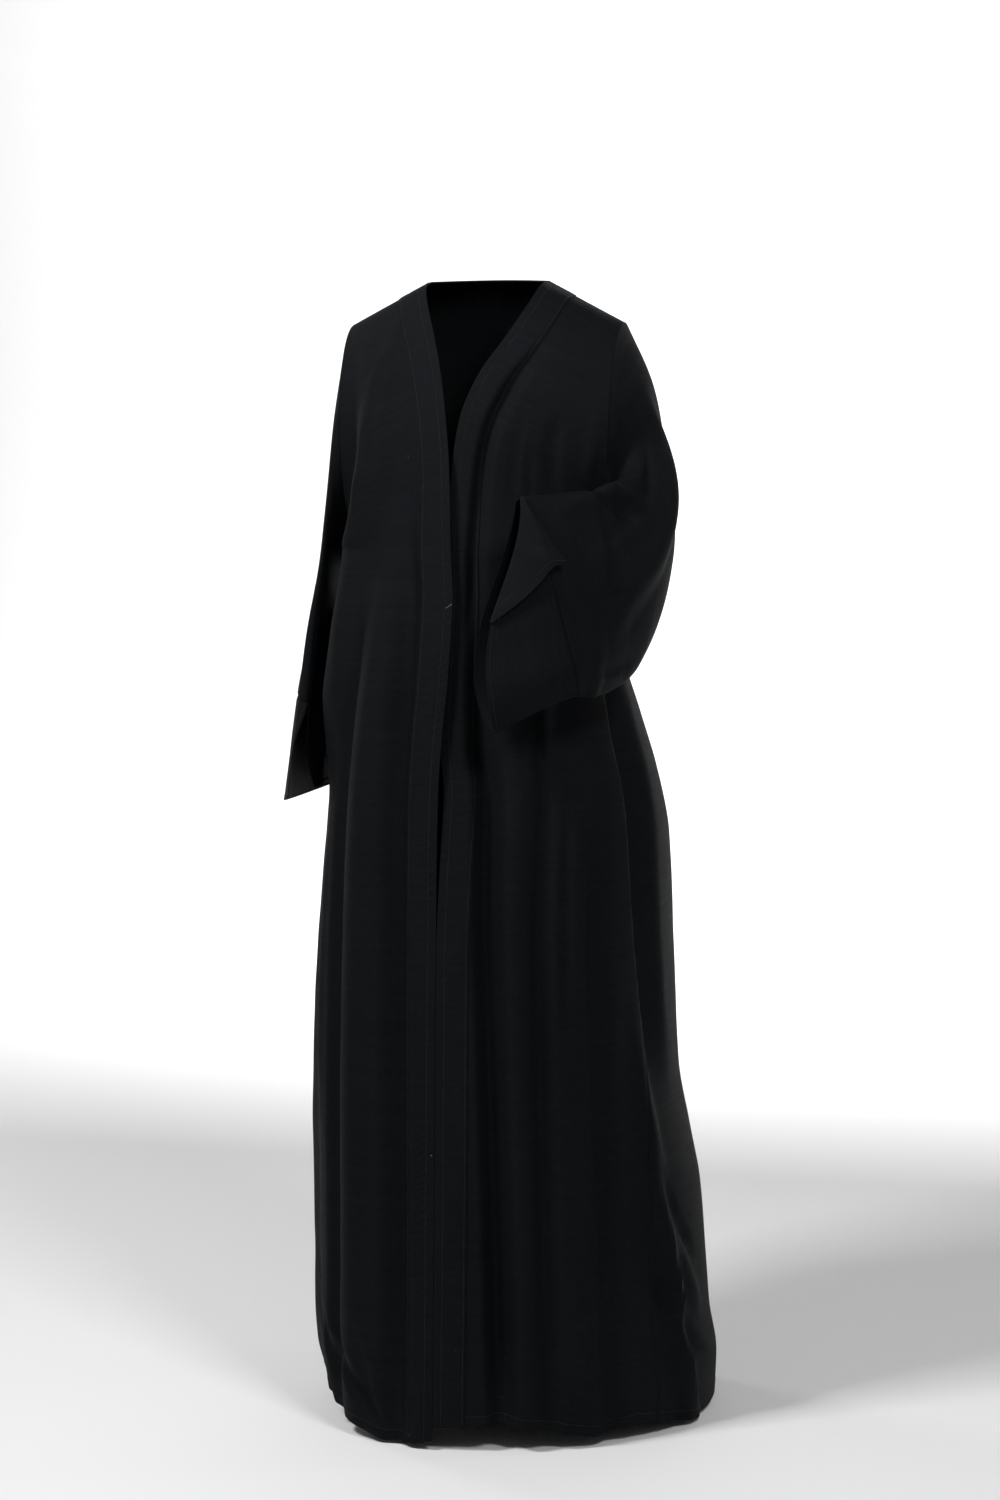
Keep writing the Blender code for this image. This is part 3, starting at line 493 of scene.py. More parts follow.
def crease_depth(creases, across, along):
    """How far the short creases push the cloth out, for points across one row of the cloth."""
    pushed = np.zeros_like(across)
    share = np.linspace(0, 1, CREASE_SAMPLES)
    for crease in creases:
        start, middle, stop = np.array(crease.start), np.array(crease.middle), np.array(crease.stop)
        bend = middle * 2 - (start + stop) / 2
        curve = (
            start * ((1 - share) ** 2)[:, None]
            + bend * (2 * share * (1 - share))[:, None]
            + stop * (share**2)[:, None]
        )
        reach = max(crease.near, crease.far)
        if along < curve[:, 1].min() - reach or along > curve[:, 1].max() + reach:
            continue
        away = np.hypot(across[:, None] - curve[None, :, 0], along - curve[None, :, 1])
        nearest = away.argmin(1)
        run = np.gradient(curve, axis=0)[nearest]
        to_point = np.stack([across - curve[nearest, 0], along - curve[nearest, 1]], 1)
        side = np.sign(run[:, 0] * to_point[:, 1] - run[:, 1] * to_point[:, 0])
        away = np.abs(run[:, 0] * to_point[:, 1] - run[:, 1] * to_point[:, 0]) / np.maximum(
            np.linalg.norm(run, axis=1), 1e-9
        )
        beyond = np.linalg.norm(to_point, axis=1) > reach * 1.5
        at = share[nearest]
        strength = eased(at * 3) * eased((1 - at) * 3)
        pushed += np.where(beyond, 0.0, crease.depth * strength * bump(away * side, crease.near, crease.far))
    return pushed


UNEVEN_SIZE = 0.11
UNEVEN_DEPTH = 0.0016
RUMPLE_SIZE = 0.028
RUMPLE_DEPTH = 0.0004


def uneven(points):
    """The small random swells of soft cloth. They follow the place, so that pieces agree at a seam."""
    out = np.empty(len(points))
    for i, (x, y, z) in enumerate(points):
        broad = Vector((x / UNEVEN_SIZE, y / UNEVEN_SIZE, z / (UNEVEN_SIZE * 2.4)))
        fine = Vector((x / RUMPLE_SIZE, y / RUMPLE_SIZE, z / (RUMPLE_SIZE * 1.6)))
        out[i] = noise.noise(broad) * UNEVEN_DEPTH + noise.noise(fine) * RUMPLE_DEPTH
    return out


# %% Rings round a sleeve
SEAM_DIP = 0.0011
SEAM_REACH = 0.0045


def ring(side, run, angle):
    """Points of a sleeve and its cuff at one run and these angles, and the way out in their ring."""
    rows = RIGHT_RINGS if side < 0 else LEFT_RINGS
    folds = RIGHT_SLEEVE_FOLDS if side < 0 else LEFT_SLEEVE_FOLDS
    creases = RIGHT_SLEEVE_CREASES if side < 0 else LEFT_SLEEVE_CREASES
    row = {name: through(rows, name, run) for name in RingRow._fields[1:]}
    top = np.array([row["top_x"], row["top_y"], row["top_z"]])
    low = np.array([row["low_x"], row["low_y"], row["low_z"]])
    turn = math.radians(row["turn"])
    across = np.array([math.sin(turn), -math.cos(turn), 0.0])
    angle = np.asarray(angle, float)
    rolled = angle - math.radians(row["twist"])
    cos, sin = np.cos(rolled)[:, None], np.sin(rolled)[:, None]
    middle, half_height, half_thick = (top + low) / 2, (top - low) / 2, row["thick"] / 2
    points = middle + half_height * cos + across * half_thick * sin * (1 + row["taper"] * cos)
    points[:, 0] -= row["bow"] * sin[:, 0] ** 2 * (1 - cos[:, 0])
    points[:, 0] += SEAM_GAP if run > 0 else 0.0
    length = np.linalg.norm(half_height)
    outward = half_height / length * cos * half_thick + across * sin * length
    outward /= np.linalg.norm(outward, axis=1)[:, None]
    degrees = np.degrees(angle) % 360
    depth = fold_depth(folds, run, degrees) + fold_depth(folds, run, degrees + 360)
    metres = [
        Crease(*[(point[0] * RING_METRES, point[1]) for point in crease[:3]], *crease[3:])
        for crease in creases
    ]
    for whole_turn in (0, 360):
        depth += crease_depth(metres, (degrees + whole_turn) * RING_METRES, run)
    calm = float(eased(run / 0.03))
    depth += uneven(points) * calm
    depth -= SEAM_DIP * seam_dip(abs(run - SLEEVE_RUN))
    points += outward * depth[:, None]
    points[:, 0] *= side
    outward[:, 0] *= side
    return points, outward


def seam_dip(distance):
    """1 at a seam, where the thread draws the cloth in, and 0 a few millimetres away."""
    return np.exp(-((np.asarray(distance) / SEAM_REACH) ** 2) * 3)


def tube(side, run, angle):
    return ring(side, run, angle)[0]


# %% Levels round the body
def arc(start, end, bend, fullness, share):
    """From start round to end in plan: level with X at the start and turned by bend at the end."""
    across = (np.sin(bend * share) / math.sin(bend)) ** (2 / fullness)
    rest = (np.cos(bend * share) - math.cos(bend)) / (1 - math.cos(bend))
    across_y = np.clip(rest, 0, 1) ** (2 / fullness)
    x = start[0] + (end[0] - start[0]) * across
    y = end[1] + (start[1] - end[1]) * across_y
    return x, y, across


def half_row(side, level):
    """One half of the body at a level, without folds: from the front edge round to the centre back."""
    name = "right" if side < 0 else "left"
    edge = [through(FRONT_EDGES, f"{name}_x", level), through(FRONT_EDGES, f"{name}_y", level)]
    edge_z = -through(FRONT_EDGES, "drop", level)
    back = [0.0, through(CENTRE_BACK, "y", level)]
    back_z = -through(CENTRE_BACK, "drop", level)
    share = np.linspace(0, 1, CURVE_SAMPLES)
    if level < 1:
        at = np.array([math.pi * level, -math.pi * level])
        front_end, back_end = tube(side, 0.0, at)
        fullness = 2.0
        bend = math.radians(30 + 60 * float(eased((level - 0.5) / 0.5)))
        round_neck = float(eased(level / 0.3))
    else:
        end_x, end_y = through(SIDES, f"{name}_x", level), through(SIDES, f"{name}_y", level)
        front_end = back_end = np.array([end_x, end_y, edge_z])
        fullness = through(SIDES, "fullness", level)
        bend = math.pi / 2
        round_neck = 1.0
    x, y, across = arc(edge, front_end, bend, fullness, share)
    front = np.stack([x, y, edge_z + (front_end[2] - edge_z) * across], 1)
    x, y, across = arc(back, back_end, bend, fullness, share)
    if round_neck < 1:
        neck_width = NECK_SHARE + (1 - NECK_SHARE) * round_neck
        dip = np.clip(1 - (across / neck_width) ** 2, 0, 1)
        y = y * round_neck + (back_end[1] + (back[1] - back_end[1]) * dip) * (1 - round_neck)
        slope = np.clip((across - NECK_SHARE) / (1 - NECK_SHARE), 0, 1)
        shoulder_z = edge_z + (back_end[2] - edge_z) * slope + (back_z - edge_z) * dip
    down = back_z + (back_end[2] - back_z) * across**2
    if round_neck < 1:
        down = down * round_neck + shoulder_z * (1 - round_neck)
    behind = np.stack([x, y, down], 1)
    return front, behind[::-1]

def lengths(points):
    steps = np.linalg.norm(np.diff(points, axis=0), axis=1)
    return np.concatenate([[0.0], np.cumsum(steps)])

class Row:
    """One level of one half of the body, read by the distance round from its front edge."""

    def __init__(self, side, level):
        self.side, self.level = side, level
        front, behind = half_row(side, level)
        self.front_length = lengths(front)[-1]
        self.armhole_gap = np.linalg.norm(behind[0] - front[-1])
        points = np.concatenate([front, behind[1:]] if level >= 1 else [front, behind])
        self.at = lengths(points)
        self.length = self.at[-1]
        self.points = points
        self.drop = through(FRONT_EDGES, "drop", level)
        self.name = "right" if side < 0 else "left"

    def seam(self):
        """Where the front stops: the armhole above the underarm, and the side seam below it."""
        if self.level <= 1:
            return self.front_length
        return self.front_length * through(SIDES, f"{self.name}_seam", self.level)

    def points_at(self, place):
        """The cloth at these distances round, with its folds and creases."""
        place = np.asarray(place, float)
        base = np.stack([np.interp(place, self.at, self.points[:, i]) for i in range(3)], 1)
        ahead = np.stack([np.interp(place + 0.004, self.at, self.points[:, i]) for i in range(2)], 1)
        behind = np.stack([np.interp(place - 0.004, self.at, self.points[:, i]) for i in range(2)], 1)
        run = ahead - behind
        run /= np.maximum(np.linalg.norm(run, axis=1), 1e-9)[:, None]
        inward = np.stack([-run[:, 1], run[:, 0]], 1) * self.side
        front_folds = RIGHT_FOLDS if self.side < 0 else LEFT_FOLDS
        creases = RIGHT_CREASES if self.side < 0 else LEFT_CREASES
        depth = fold_depth(front_folds, self.drop, place)
        depth += fold_depth(BACK_FOLDS, self.drop, self.side * (self.length - place))
        from_armhole = np.minimum(
            np.abs(place - self.front_length), np.abs(place - self.front_length - self.armhole_gap)
        )
        depth += crease_depth(creases, place, self.drop)
        free = eased(from_armhole / 0.035)
        free = 1 - (1 - free) * (1 - float(eased((self.level - 1) / 0.10)))
        depth = (depth + uneven(base)) * free
        if self.level > 1:
            depth -= SEAM_DIP * seam_dip(place - self.seam())
        base[:, :2] -= inward * depth[:, None]
        shares = [row.place for row in HEM_DROP]
        drops = [getattr(row, self.name) for row in HEM_DROP]
        lowered = np.interp(place / self.length, shares, drops)
        base[:, 2] -= lowered * float(eased((self.drop - HEM_START) / (LENGTH - HEM_START)))
        return base


print("curves ready, front edge length about", round(LENGTH, 2))

# %% [markdown]
# ## From curves to cloth
#
# Each piece is a grid: rows down the cloth, columns round it. The grid is closer together at
# the edges, where hems and stitches need it. The way out of the cloth at each point comes
# from its neighbours a millimetre away, so that two pieces agree where they meet.

# %% Grids
EDGE_STEPS = np.array([0.0, 0.0012, 0.0026, 0.0045, 0.0075, 0.0115])
HEM_STEPS = np.array([0.020, 0.016, 0.012, 0.009, 0.006, 0.003, 0.0012, 0.0])
TOP_LEVEL = 0.0006
YOKE_ROWS = 84
SKIRT_ROWS = 236
FRONT_MIDDLE = 78
BACK_MIDDLE = 56


def outward_normals(before, after, left, right, flip):
    normal = np.cross(right - left, after - before)
    normal /= np.maximum(np.linalg.norm(normal, axis=1), 1e-12)[:, None]
    return normal * flip


def body_levels(yoke=YOKE_ROWS, skirt=SKIRT_ROWS):
    """Levels from neck to hem, closer together over the turned-up hem."""
    hem = 2 - HEM_STEPS / (LENGTH - UNDERARM)
    top = [TOP_LEVEL + (1 - TOP_LEVEL) * i / yoke for i in range(yoke)]
    middle = np.linspace(1, hem[0], skirt, endpoint=False)
    return np.concatenate([top, middle, hem])


def between(start, end, middle, first=EDGE_STEPS, last=EDGE_STEPS):
    """Places from start to end, close together at both ends."""
    inner = np.linspace(start + first[-1], end - last[-1], middle + 2)[1:-1]
    return np.concatenate([start + first, inner, end - last[::-1]])


def body_grid(side, levels, places_of):
    points, normals, flat = [], [], []
    for level in levels:
        row = Row(side, level)
        place = places_of(row)
        before = Row(side, max(level - SMALL, 0.0)).points_at(place)
        after = Row(side, min(level + SMALL, 2.0)).points_at(place)
        left = row.points_at(place - SMALL)
        right = row.points_at(place + SMALL)
        points.append(row.points_at(place))
        normals.append(outward_normals(before, after, left, right, -side))
        flat.append(np.stack([place * side, np.full_like(place, -row.drop)], 1))
    points, normals = np.array(points), np.array(normals)
    if levels[0] < SMALL * 10:
        normals[0, :, 1] = 0.0
    normals[0] /= np.linalg.norm(normals[0], axis=1)[:, None]
    return points, normals, np.array(flat)


def tube_grid(side, runs, angles_at):
    points, normals, flat = [], [], []
    for run in runs:
        angle = angles_at(run)
        before = tube(side, max(run - SMALL, SMALL / 10), angle)
        after = tube(side, run + SMALL, angle)
        left, right = tube(side, run, angle - 0.005), tube(side, run, angle + 0.005)
        points.append(tube(side, run, angle))
        normals.append(outward_normals(before, after, left, right, side))
        flat.append(np.stack([np.degrees(angle) * RING_METRES, np.full_like(angle, -run)], 1))
    return np.array(points), np.array(normals), np.array(flat)


# %% [markdown]
# A hem is cloth turned in and sewn, so it is a little thicker than the rest and ends in a
# soft step. The helper raises the outside of the shell within a hem's width of an edge.

# %% Hems and shells
HEM_RISE = 0.0004


def hem_rise(distance, width):
    """How far a hem of that width lifts the cloth, at these distances from the edge."""
    inside = eased((width - np.asarray(distance)) / 0.0015)
    rounded = 1 - (1 - eased(np.asarray(distance) / 0.0012 + 0.35)) * 0.8
    return HEM_RISE * inside * rounded


def cloth_mesh(name, outer, inner, flat, materials, closed=False):
    """A thin closed shell between two grids. Closed joins the last column to the first."""
    rows, columns = outer.shape[:2]
    count = rows * columns
    points = np.concatenate([outer.reshape(-1, 3), inner.reshape(-1, 3)])
    index = np.arange(count).reshape(rows, columns)
    if closed:
        index = np.concatenate([index, index[:, :1]], 1)
    a, b = index[:-1, :-1].ravel(), index[:-1, 1:].ravel()
    c, d = index[1:, 1:].ravel(), index[1:, :-1].ravel()
    outside = np.stack([a, b, c, d], 1)
    inside = outside[:, ::-1] + count
    rims = []
    top, low = index[0], index[-1]
    rims.append(np.stack([top[1:], top[:-1], top[:-1] + count, top[1:] + count], 1))
    rims.append(np.stack([low[:-1], low[1:], low[1:] + count, low[:-1] + count], 1))
    if not closed:
        first, last = index[:, 0], index[:, -1]
        rims.append(np.stack([first[:-1], first[1:], first[1:] + count, first[:-1] + count], 1))
        rims.append(np.stack([last[1:], last[:-1], last[:-1] + count, last[1:] + count], 1))
    faces = np.concatenate([outside, inside, *rims])
    mesh = bpy.data.meshes.new(name)
    mesh.vertices.add(len(points))
    mesh.vertices.foreach_set("co", points.astype(np.float32).ravel())
    mesh.loops.add(faces.size)
    mesh.loops.foreach_set("vertex_index", faces.ravel().astype(np.int32))
    mesh.polygons.add(len(faces))
    mesh.polygons.foreach_set("loop_start", np.arange(0, faces.size, 4, dtype=np.int32))
    flat_all = np.concatenate([flat.reshape(-1, 2), flat.reshape(-1, 2)])
    layer = mesh.uv_layers.new(name=CLOTH_MAP)
    layer.data.foreach_set("uv", flat_all[faces.ravel()].astype(np.float32).ravel())
    for material in materials:
        mesh.materials.append(material)
    slots = np.zeros(len(faces), np.int32)
    slots[len(outside):len(outside) * 2] = len(materials) - 1
    mesh.polygons.foreach_set("material_index", slots)
    mesh.update(calc_edges=True)
    mesh.validate()
    mesh.shade_smooth()
    mesh.set_sharp_from_angle(angle=math.radians(50))
    made = bpy.data.objects.new(name, mesh)
    bpy.context.scene.collection.objects.link(made)
    turn_outside(mesh)
    return made


def turn_outside(mesh):
    """Turns every face over if the shell came out inside out."""
    count = len(mesh.vertices)
    place = np.empty(count * 3, np.float32)
    mesh.vertices.foreach_get("co", place)
    place = place.reshape(-1, 3).astype(float)
    mesh.calc_loop_triangles()
    corners = np.empty(len(mesh.loop_triangles) * 3, np.int32)
    mesh.loop_triangles.foreach_get("vertices", corners)
    a, b, c = (place[corners.reshape(-1, 3)[:, i]] for i in range(3))
    if (a * np.cross(b, c)).sum() < 0:
        mesh.flip_normals()


def surface_area(outer, closed=False):
    """Square metres of cloth in a grid."""
    grid = np.concatenate([outer, outer[:, :1]], 1) if closed else outer
    a, b = grid[1:, 1:] - grid[:-1, :-1], grid[1:, :-1] - grid[:-1, 1:]
    return float(np.linalg.norm(np.cross(a, b), axis=2).sum() / 2)


def shell(name, grid, materials, rise, closed=False):
    """A cloth piece from a grid: the inside lies a wall's thickness in, and hems stand a little proud."""
    points, normals, flat = grid
    outer = points + normals * rise[..., None]
    made = cloth_mesh(name, outer, points - normals * WALL, flat, materials, closed)
    area = surface_area(points, closed)
    print(name, "faces", len(made.data.polygons), "area", round(area, 3))
    return made


# %% [markdown]
# ## Stitches
#
# A topstitch is a row of short thread bridges, each a little raised in its middle and sunk
# at its ends. They could be painted as a dashed line, but as geometry they keep their
# relief in every light. Each stitch is a small four-sided spindle with three sections.

# %% Stitch rows
STITCH_LENGTH = 0.0027
STITCH_GAP = 0.0007
STITCH_HALF = 0.00022
STITCH_RISE = 0.00022
THREAD_ABOVE = 0.0003


def stitch_row(points, normals):
    """Corners and faces of the stitches along a line that lies on the cloth."""
    along = lengths(points)
    count = int((along[-1] - STITCH_GAP) / (STITCH_LENGTH + STITCH_GAP))
    starts = STITCH_GAP + np.arange(count) * (STITCH_LENGTH + STITCH_GAP)
    sections = []
    for share, size, rise in ((0.0, 0.5, -0.6), (0.5, 1.0, 1.0), (1.0, 0.5, -0.6)):
        at = starts + STITCH_LENGTH * share
        place = np.stack([np.interp(at, along, points[:, i]) for i in range(3)], 1)
        out = np.stack([np.interp(at, along, normals[:, i]) for i in range(3)], 1)
        ahead = np.stack([np.interp(at + 0.0005, along, points[:, i]) for i in range(3)], 1)
        back = np.stack([np.interp(at - 0.0005, along, points[:, i]) for i in range(3)], 1)
        run = ahead - back
        run /= np.maximum(np.linalg.norm(run, axis=1), 1e-9)[:, None]
        across = np.cross(out, run)
        middle = place + out * (STITCH_RISE * rise)
        ways = (across, out, -across, -out)
        sections.append(np.stack([middle + way * STITCH_HALF * size for way in ways], 1))
    corners = np.stack(sections, 1).reshape(-1, 3)
    base = np.arange(count)[:, None] * 12
    pattern = []
    for s in (0, 1):
        for k in range(4):
            n = (k + 1) % 4
            pattern.append((s * 4 + k, s * 4 + n, s * 4 + 4 + n, s * 4 + 4 + k))
    pattern.append((3, 2, 1, 0))
    pattern.append((8, 9, 10, 11))
    faces = (base[:, :, None] + np.array(pattern)[None]).reshape(-1, 4)
    return corners, faces


def stitches(name, rows, material):
    """One object for all the stitch rows of a piece."""
    corners, faces, start = [], [], 0
    for points, normals in rows:
        some, quads = stitch_row(np.asarray(points), np.asarray(normals))
        corners.append(some)
        faces.append(quads + start)
        start += len(some)
    mesh = bpy.data.meshes.new(name)
    mesh.from_pydata(np.concatenate(corners).tolist(), [], np.concatenate(faces).tolist())
    mesh.shade_smooth()
    mesh.materials.append(material)
    turn_outside(mesh)
    made = bpy.data.objects.new(name, mesh)
    bpy.context.scene.collection.objects.link(made)
    print(name, "stitches", len(mesh.polygons) // 10)
    return made


# %% [markdown]
# ## The crepe
#
# Crepe is woven from twisted yarns that pull up into a fine pebbled grain, and this one has
# thicker weft threads that show as short level streaks. Its black is slightly cool. Close up
# the weave must show, and from afar only a soft sheen. The grain is a node group, so that
# the main cloth, its wrong side and the facings share it with their own values. It reads the
# flat place of the cloth in metres, and so follows every fold.

# %% The grain group
CLOTH_MAP = "cloth_map"


class Wiring:
    """Adds nodes to a tree and joins them, with few words."""

    def __init__(self, tree):
        self.tree = tree

    def node(self, kind, **settings):
        made = self.tree.nodes.new(kind)
        for name, value in settings.items():
            setattr(made, name, value)
        return made

    def feed(self, socket, value):
        if isinstance(value, bpy.types.NodeSocket):
            self.tree.links.new(value, socket)
        else:
            socket.default_value = value

    def maths(self, operation, first, second=0.0, third=0.0):
        made = self.node("ShaderNodeMath", operation=operation)
        for socket, value in zip(made.inputs, (first, second, third)):
            self.feed(socket, value)
        return made.outputs[0]

    def stretched(self, vector, scale):
        made = self.node("ShaderNodeVectorMath", operation="MULTIPLY")
        self.feed(made.inputs[0], vector)
        made.inputs[1].default_value = scale
        return made.outputs[0]

    def noise(self, vector, scale, detail, roughness=0.5):
        made = self.node("ShaderNodeTexNoise")
        self.feed(made.inputs["Vector"], vector)
        self.feed(made.inputs["Scale"], scale)
        made.inputs["Detail"].default_value = detail
        made.inputs["Roughness"].default_value = roughness
        return made.outputs["Fac"]

    def ranged(self, value, low, high, to_low=0.0, to_high=1.0):
        made = self.node("ShaderNodeMapRange")
        for name, number in (
            ("Value", value),
            ("From Min", low),
            ("From Max", high),
            ("To Min", to_low),
            ("To Max", to_high),
        ):
            self.feed(made.inputs[name], number)
        return made.outputs["Result"]


def new_group(name, inputs, outputs):
    group = bpy.data.node_groups.new(name, "ShaderNodeTree")
    for label, kind, value in inputs:
        socket = group.interface.new_socket(name=label, in_out="INPUT", socket_type=kind)
        if value is not None:
            socket.default_value = value
    for label, kind in outputs:
        group.interface.new_socket(name=label, in_out="OUTPUT", socket_type=kind)
    wires = Wiring(group)
    return group, wires, wires.node("NodeGroupInput"), wires.node("NodeGroupOutput")


THREADS_PER_METRE = 1900.0


def crepe_grain_group():
    """Height and tone of slubbed crepe, from the flat place in metres."""
    group, wires, given, out = new_group(
        "crepe_grain",
        [
            ("Flat", "NodeSocketVector", None),
            ("Pebble", "NodeSocketFloat", 0.5),
            ("Slub", "NodeSocketFloat", 0.5),
            ("Thread", "NodeSocketFloat", 0.25),
        ],
        [("Height", "NodeSocketFloat"), ("Tone", "NodeSocketFloat")],
    )
    flat = given.outputs["Flat"]
    pebble = wires.noise(wires.stretched(flat, (0.75, 1.0, 1.0)), 1250.0, 2.0, 0.55)
    slub = wires.noise(wires.stretched(flat, (0.10, 1.0, 1.0)), 620.0, 3.0, 0.6)
    streak = wires.noise(wires.stretched(flat, (0.035, 1.0, 1.0)), 210.0, 2.0, 0.5)
    parts = wires.node("ShaderNodeSeparateXYZ")
    wires.feed(parts.inputs[0], flat)
    warp = wires.maths("SINE", wires.maths("MULTIPLY", parts.outputs["X"], THREADS_PER_METRE * math.tau))
    weft = wires.maths("SINE", wires.maths("MULTIPLY", parts.outputs["Y"], THREADS_PER_METRE * math.tau))
    weave = wires.maths("MULTIPLY", wires.maths("MULTIPLY", warp, weft), given.outputs["Thread"])
    pebbled = wires.maths("MULTIPLY", wires.ranged(pebble, 0.3, 0.7, -1.0, 1.0), given.outputs["Pebble"])
    slubbed = wires.maths("MULTIPLY", wires.ranged(slub, 0.35, 0.7, -0.6, 1.0), given.outputs["Slub"])
    streaked = wires.maths("MULTIPLY", wires.ranged(streak, 0.35, 0.7, -0.3, 0.9), given.outputs["Slub"])
    height = wires.maths("ADD", wires.maths("ADD", pebbled, slubbed), wires.maths("ADD", streaked, weave))
    tone = wires.maths("ADD", wires.maths("MULTIPLY", height, 0.30), 0.45)
    wires.feed(out.inputs["Height"], height)
    wires.feed(out.inputs["Tone"], tone)
    return group


crepe_grain = crepe_grain_group()
print("group", crepe_grain.name, "sockets", len(crepe_grain.interface.items_tree))

# %% [markdown]
# A second group gives what use gives to black cloth: broad, faint differences of tone, and
# tiny specks of pale lint.

# %% The wear group
def cloth_wear_group():
    """A broad tone and a lint mask over the surface."""
    group, wires, given, out = new_group(
        "cloth_wear",
        [
            ("Flat", "NodeSocketVector", None),
            ("Tone Amount", "NodeSocketFloat", 0.3),
            ("Lint Amount", "NodeSocketFloat", 1.0),
        ],
        [("Tone", "NodeSocketFloat"), ("Lint", "NodeSocketFloat")],
    )
    flat = given.outputs["Flat"]
    broad = wires.noise(wires.stretched(flat, (1.0, 0.45, 1.0)), 9.0, 3.0, 0.55)
    drift = wires.maths("MULTIPLY", wires.ranged(broad, 0.3, 0.7, -1.0, 1.0), given.outputs["Tone Amount"])
    cells = wires.node("ShaderNodeTexVoronoi", feature="F1")
    wires.feed(cells.inputs["Vector"], flat)
    cells.inputs["Scale"].default_value = 34.0
    speck = wires.ranged(cells.outputs["Distance"], 0.012, 0.020, 1.0, 0.0)
    chosen = wires.node("ShaderNodeSeparateColor")
    wires.feed(chosen.inputs[0], cells.outputs["Color"])
    rare = wires.maths("GREATER_THAN", chosen.outputs[0], 0.93)
    lint = wires.maths("MULTIPLY", wires.maths("MULTIPLY", speck, rare), given.outputs["Lint Amount"])
    wires.feed(out.inputs["Tone"], wires.maths("ADD", drift, 1.0))
    wires.feed(out.inputs["Lint"], lint)
    return group


cloth_wear = cloth_wear_group()
print("group", cloth_wear.name)

# %% [markdown]
# The material adds the groups to a Principled shader. Crepe is a matte black, so the shine
# is low and the roughness high, and only a trace of sheen lights the ridges at a slant.

# %% The cloth materials
CREPE_SHINE = 0.04
CREPE_SHEEN = 0.001


def group_node(wires, group, **values):
    made = wires.node("ShaderNodeGroup", node_tree=group)
    for label, value in values.items():
        wires.feed(made.inputs[label.replace("_", " ")], value)
    return made


def crepe(name, dark, light, grain, bump_height, roughness):
    """A crepe of two near tones. Grain is its pebble, slub and thread."""
    made = bpy.data.materials.new(name)
    made.use_nodes = True
    wires = Wiring(made.node_tree)
    shader = made.node_tree.nodes["Principled BSDF"]
    flat = wires.node("ShaderNodeUVMap", uv_map=CLOTH_MAP).outputs["UV"]
    texture = group_node(wires, crepe_grain, Flat=flat, Pebble=grain[0], Slub=grain[1], Thread=grain[2])
    wear = group_node(wires, cloth_wear, Flat=flat, Tone_Amount=0.10, Lint_Amount=0.55)
    mixed = wires.node("ShaderNodeMix", data_type="RGBA")
    wires.feed(mixed.inputs["Factor"], texture.outputs["Tone"])
    mixed.inputs["A"].default_value = (*dark, 1.0)
    mixed.inputs["B"].default_value = (*light, 1.0)
    toned = wires.node("ShaderNodeMix", data_type="RGBA", blend_type="MULTIPLY")
    toned.inputs["Factor"].default_value = 1.0
    wires.feed(toned.inputs["A"], mixed.outputs["Result"])
    grey = wires.node("ShaderNodeCombineColor")
    for channel in grey.inputs:
        wires.feed(channel, wear.outputs["Tone"])
    wires.feed(toned.inputs["B"], grey.outputs[0])
    linted = wires.node("ShaderNodeMix", data_type="RGBA")
    wires.feed(linted.inputs["Factor"], wear.outputs["Lint"])
    wires.feed(linted.inputs["A"], toned.outputs["Result"])
    linted.inputs["B"].default_value = (0.30, 0.31, 0.33, 1.0)
    wires.feed(shader.inputs["Base Color"], linted.outputs["Result"])
    rough = wires.ranged(texture.outputs["Tone"], 0.2, 0.9, roughness + 0.05, roughness - 0.08)
    wires.feed(shader.inputs["Roughness"], rough)
    relief = wires.node("ShaderNodeBump")
    relief.inputs["Strength"].default_value = 0.8
    relief.inputs["Distance"].default_value = bump_height
    wires.feed(relief.inputs["Height"], texture.outputs["Height"])
    wires.feed(shader.inputs["Normal"], relief.outputs["Normal"])
    shader.inputs["Specular IOR Level"].default_value = CREPE_SHINE
    shader.inputs["Sheen Weight"].default_value = CREPE_SHEEN
    shader.inputs["Sheen Roughness"].default_value = 0.45
    shader.inputs["Sheen Tint"].default_value = (0.80, 0.88, 1.0, 1.0)
    return made


right_side = crepe(
    "crepe_face", (0.0024, 0.0029, 0.0037), (0.0062, 0.0072, 0.0087), (0.5, 0.55, 0.25), 0.00022, 0.62
)
wrong_side = crepe(
    "crepe_wrong_side", (0.0032, 0.0037, 0.0046), (0.0074, 0.0084, 0.0100), (0.6, 0.4, 0.2), 0.00018, 0.70
)
facing_side = crepe(
    "crepe_facing", (0.0024, 0.0029, 0.0037), (0.0062, 0.0072, 0.0087), (0.5, 0.6, 0.25), 0.00022, 0.60
)
thread = bpy.data.materials.new("sewing_thread")
thread.use_nodes = True
thread_shader = thread.node_tree.nodes["Principled BSDF"]
thread_wires = Wiring(thread.node_tree)
twist_place = thread_wires.node("ShaderNodeTexCoord").outputs["Object"]
twist = thread_wires.noise(twist_place, 2600.0, 1.0)
twist_tone = thread_wires.node("ShaderNodeMix", data_type="RGBA")
thread_wires.feed(twist_tone.inputs["Factor"], twist)
twist_tone.inputs["A"].default_value = (0.005, 0.006, 0.007, 1.0)
twist_tone.inputs["B"].default_value = (0.014, 0.016, 0.019, 1.0)
thread_wires.feed(thread_shader.inputs["Base Color"], twist_tone.outputs["Result"])
thread_shader.inputs["Roughness"].default_value = 0.5
tacking_thread = thread.copy()
tacking_thread.name = "tacking_thread"
for node in tacking_thread.node_tree.nodes:
    if node.type == "MIX":
        node.inputs["A"].default_value = (0.30, 0.30, 0.29, 1.0)
        node.inputs["B"].default_value = (0.50, 0.50, 0.48, 1.0)
print("materials:", right_side.name, wrong_side.name, facing_side.name, thread.name)

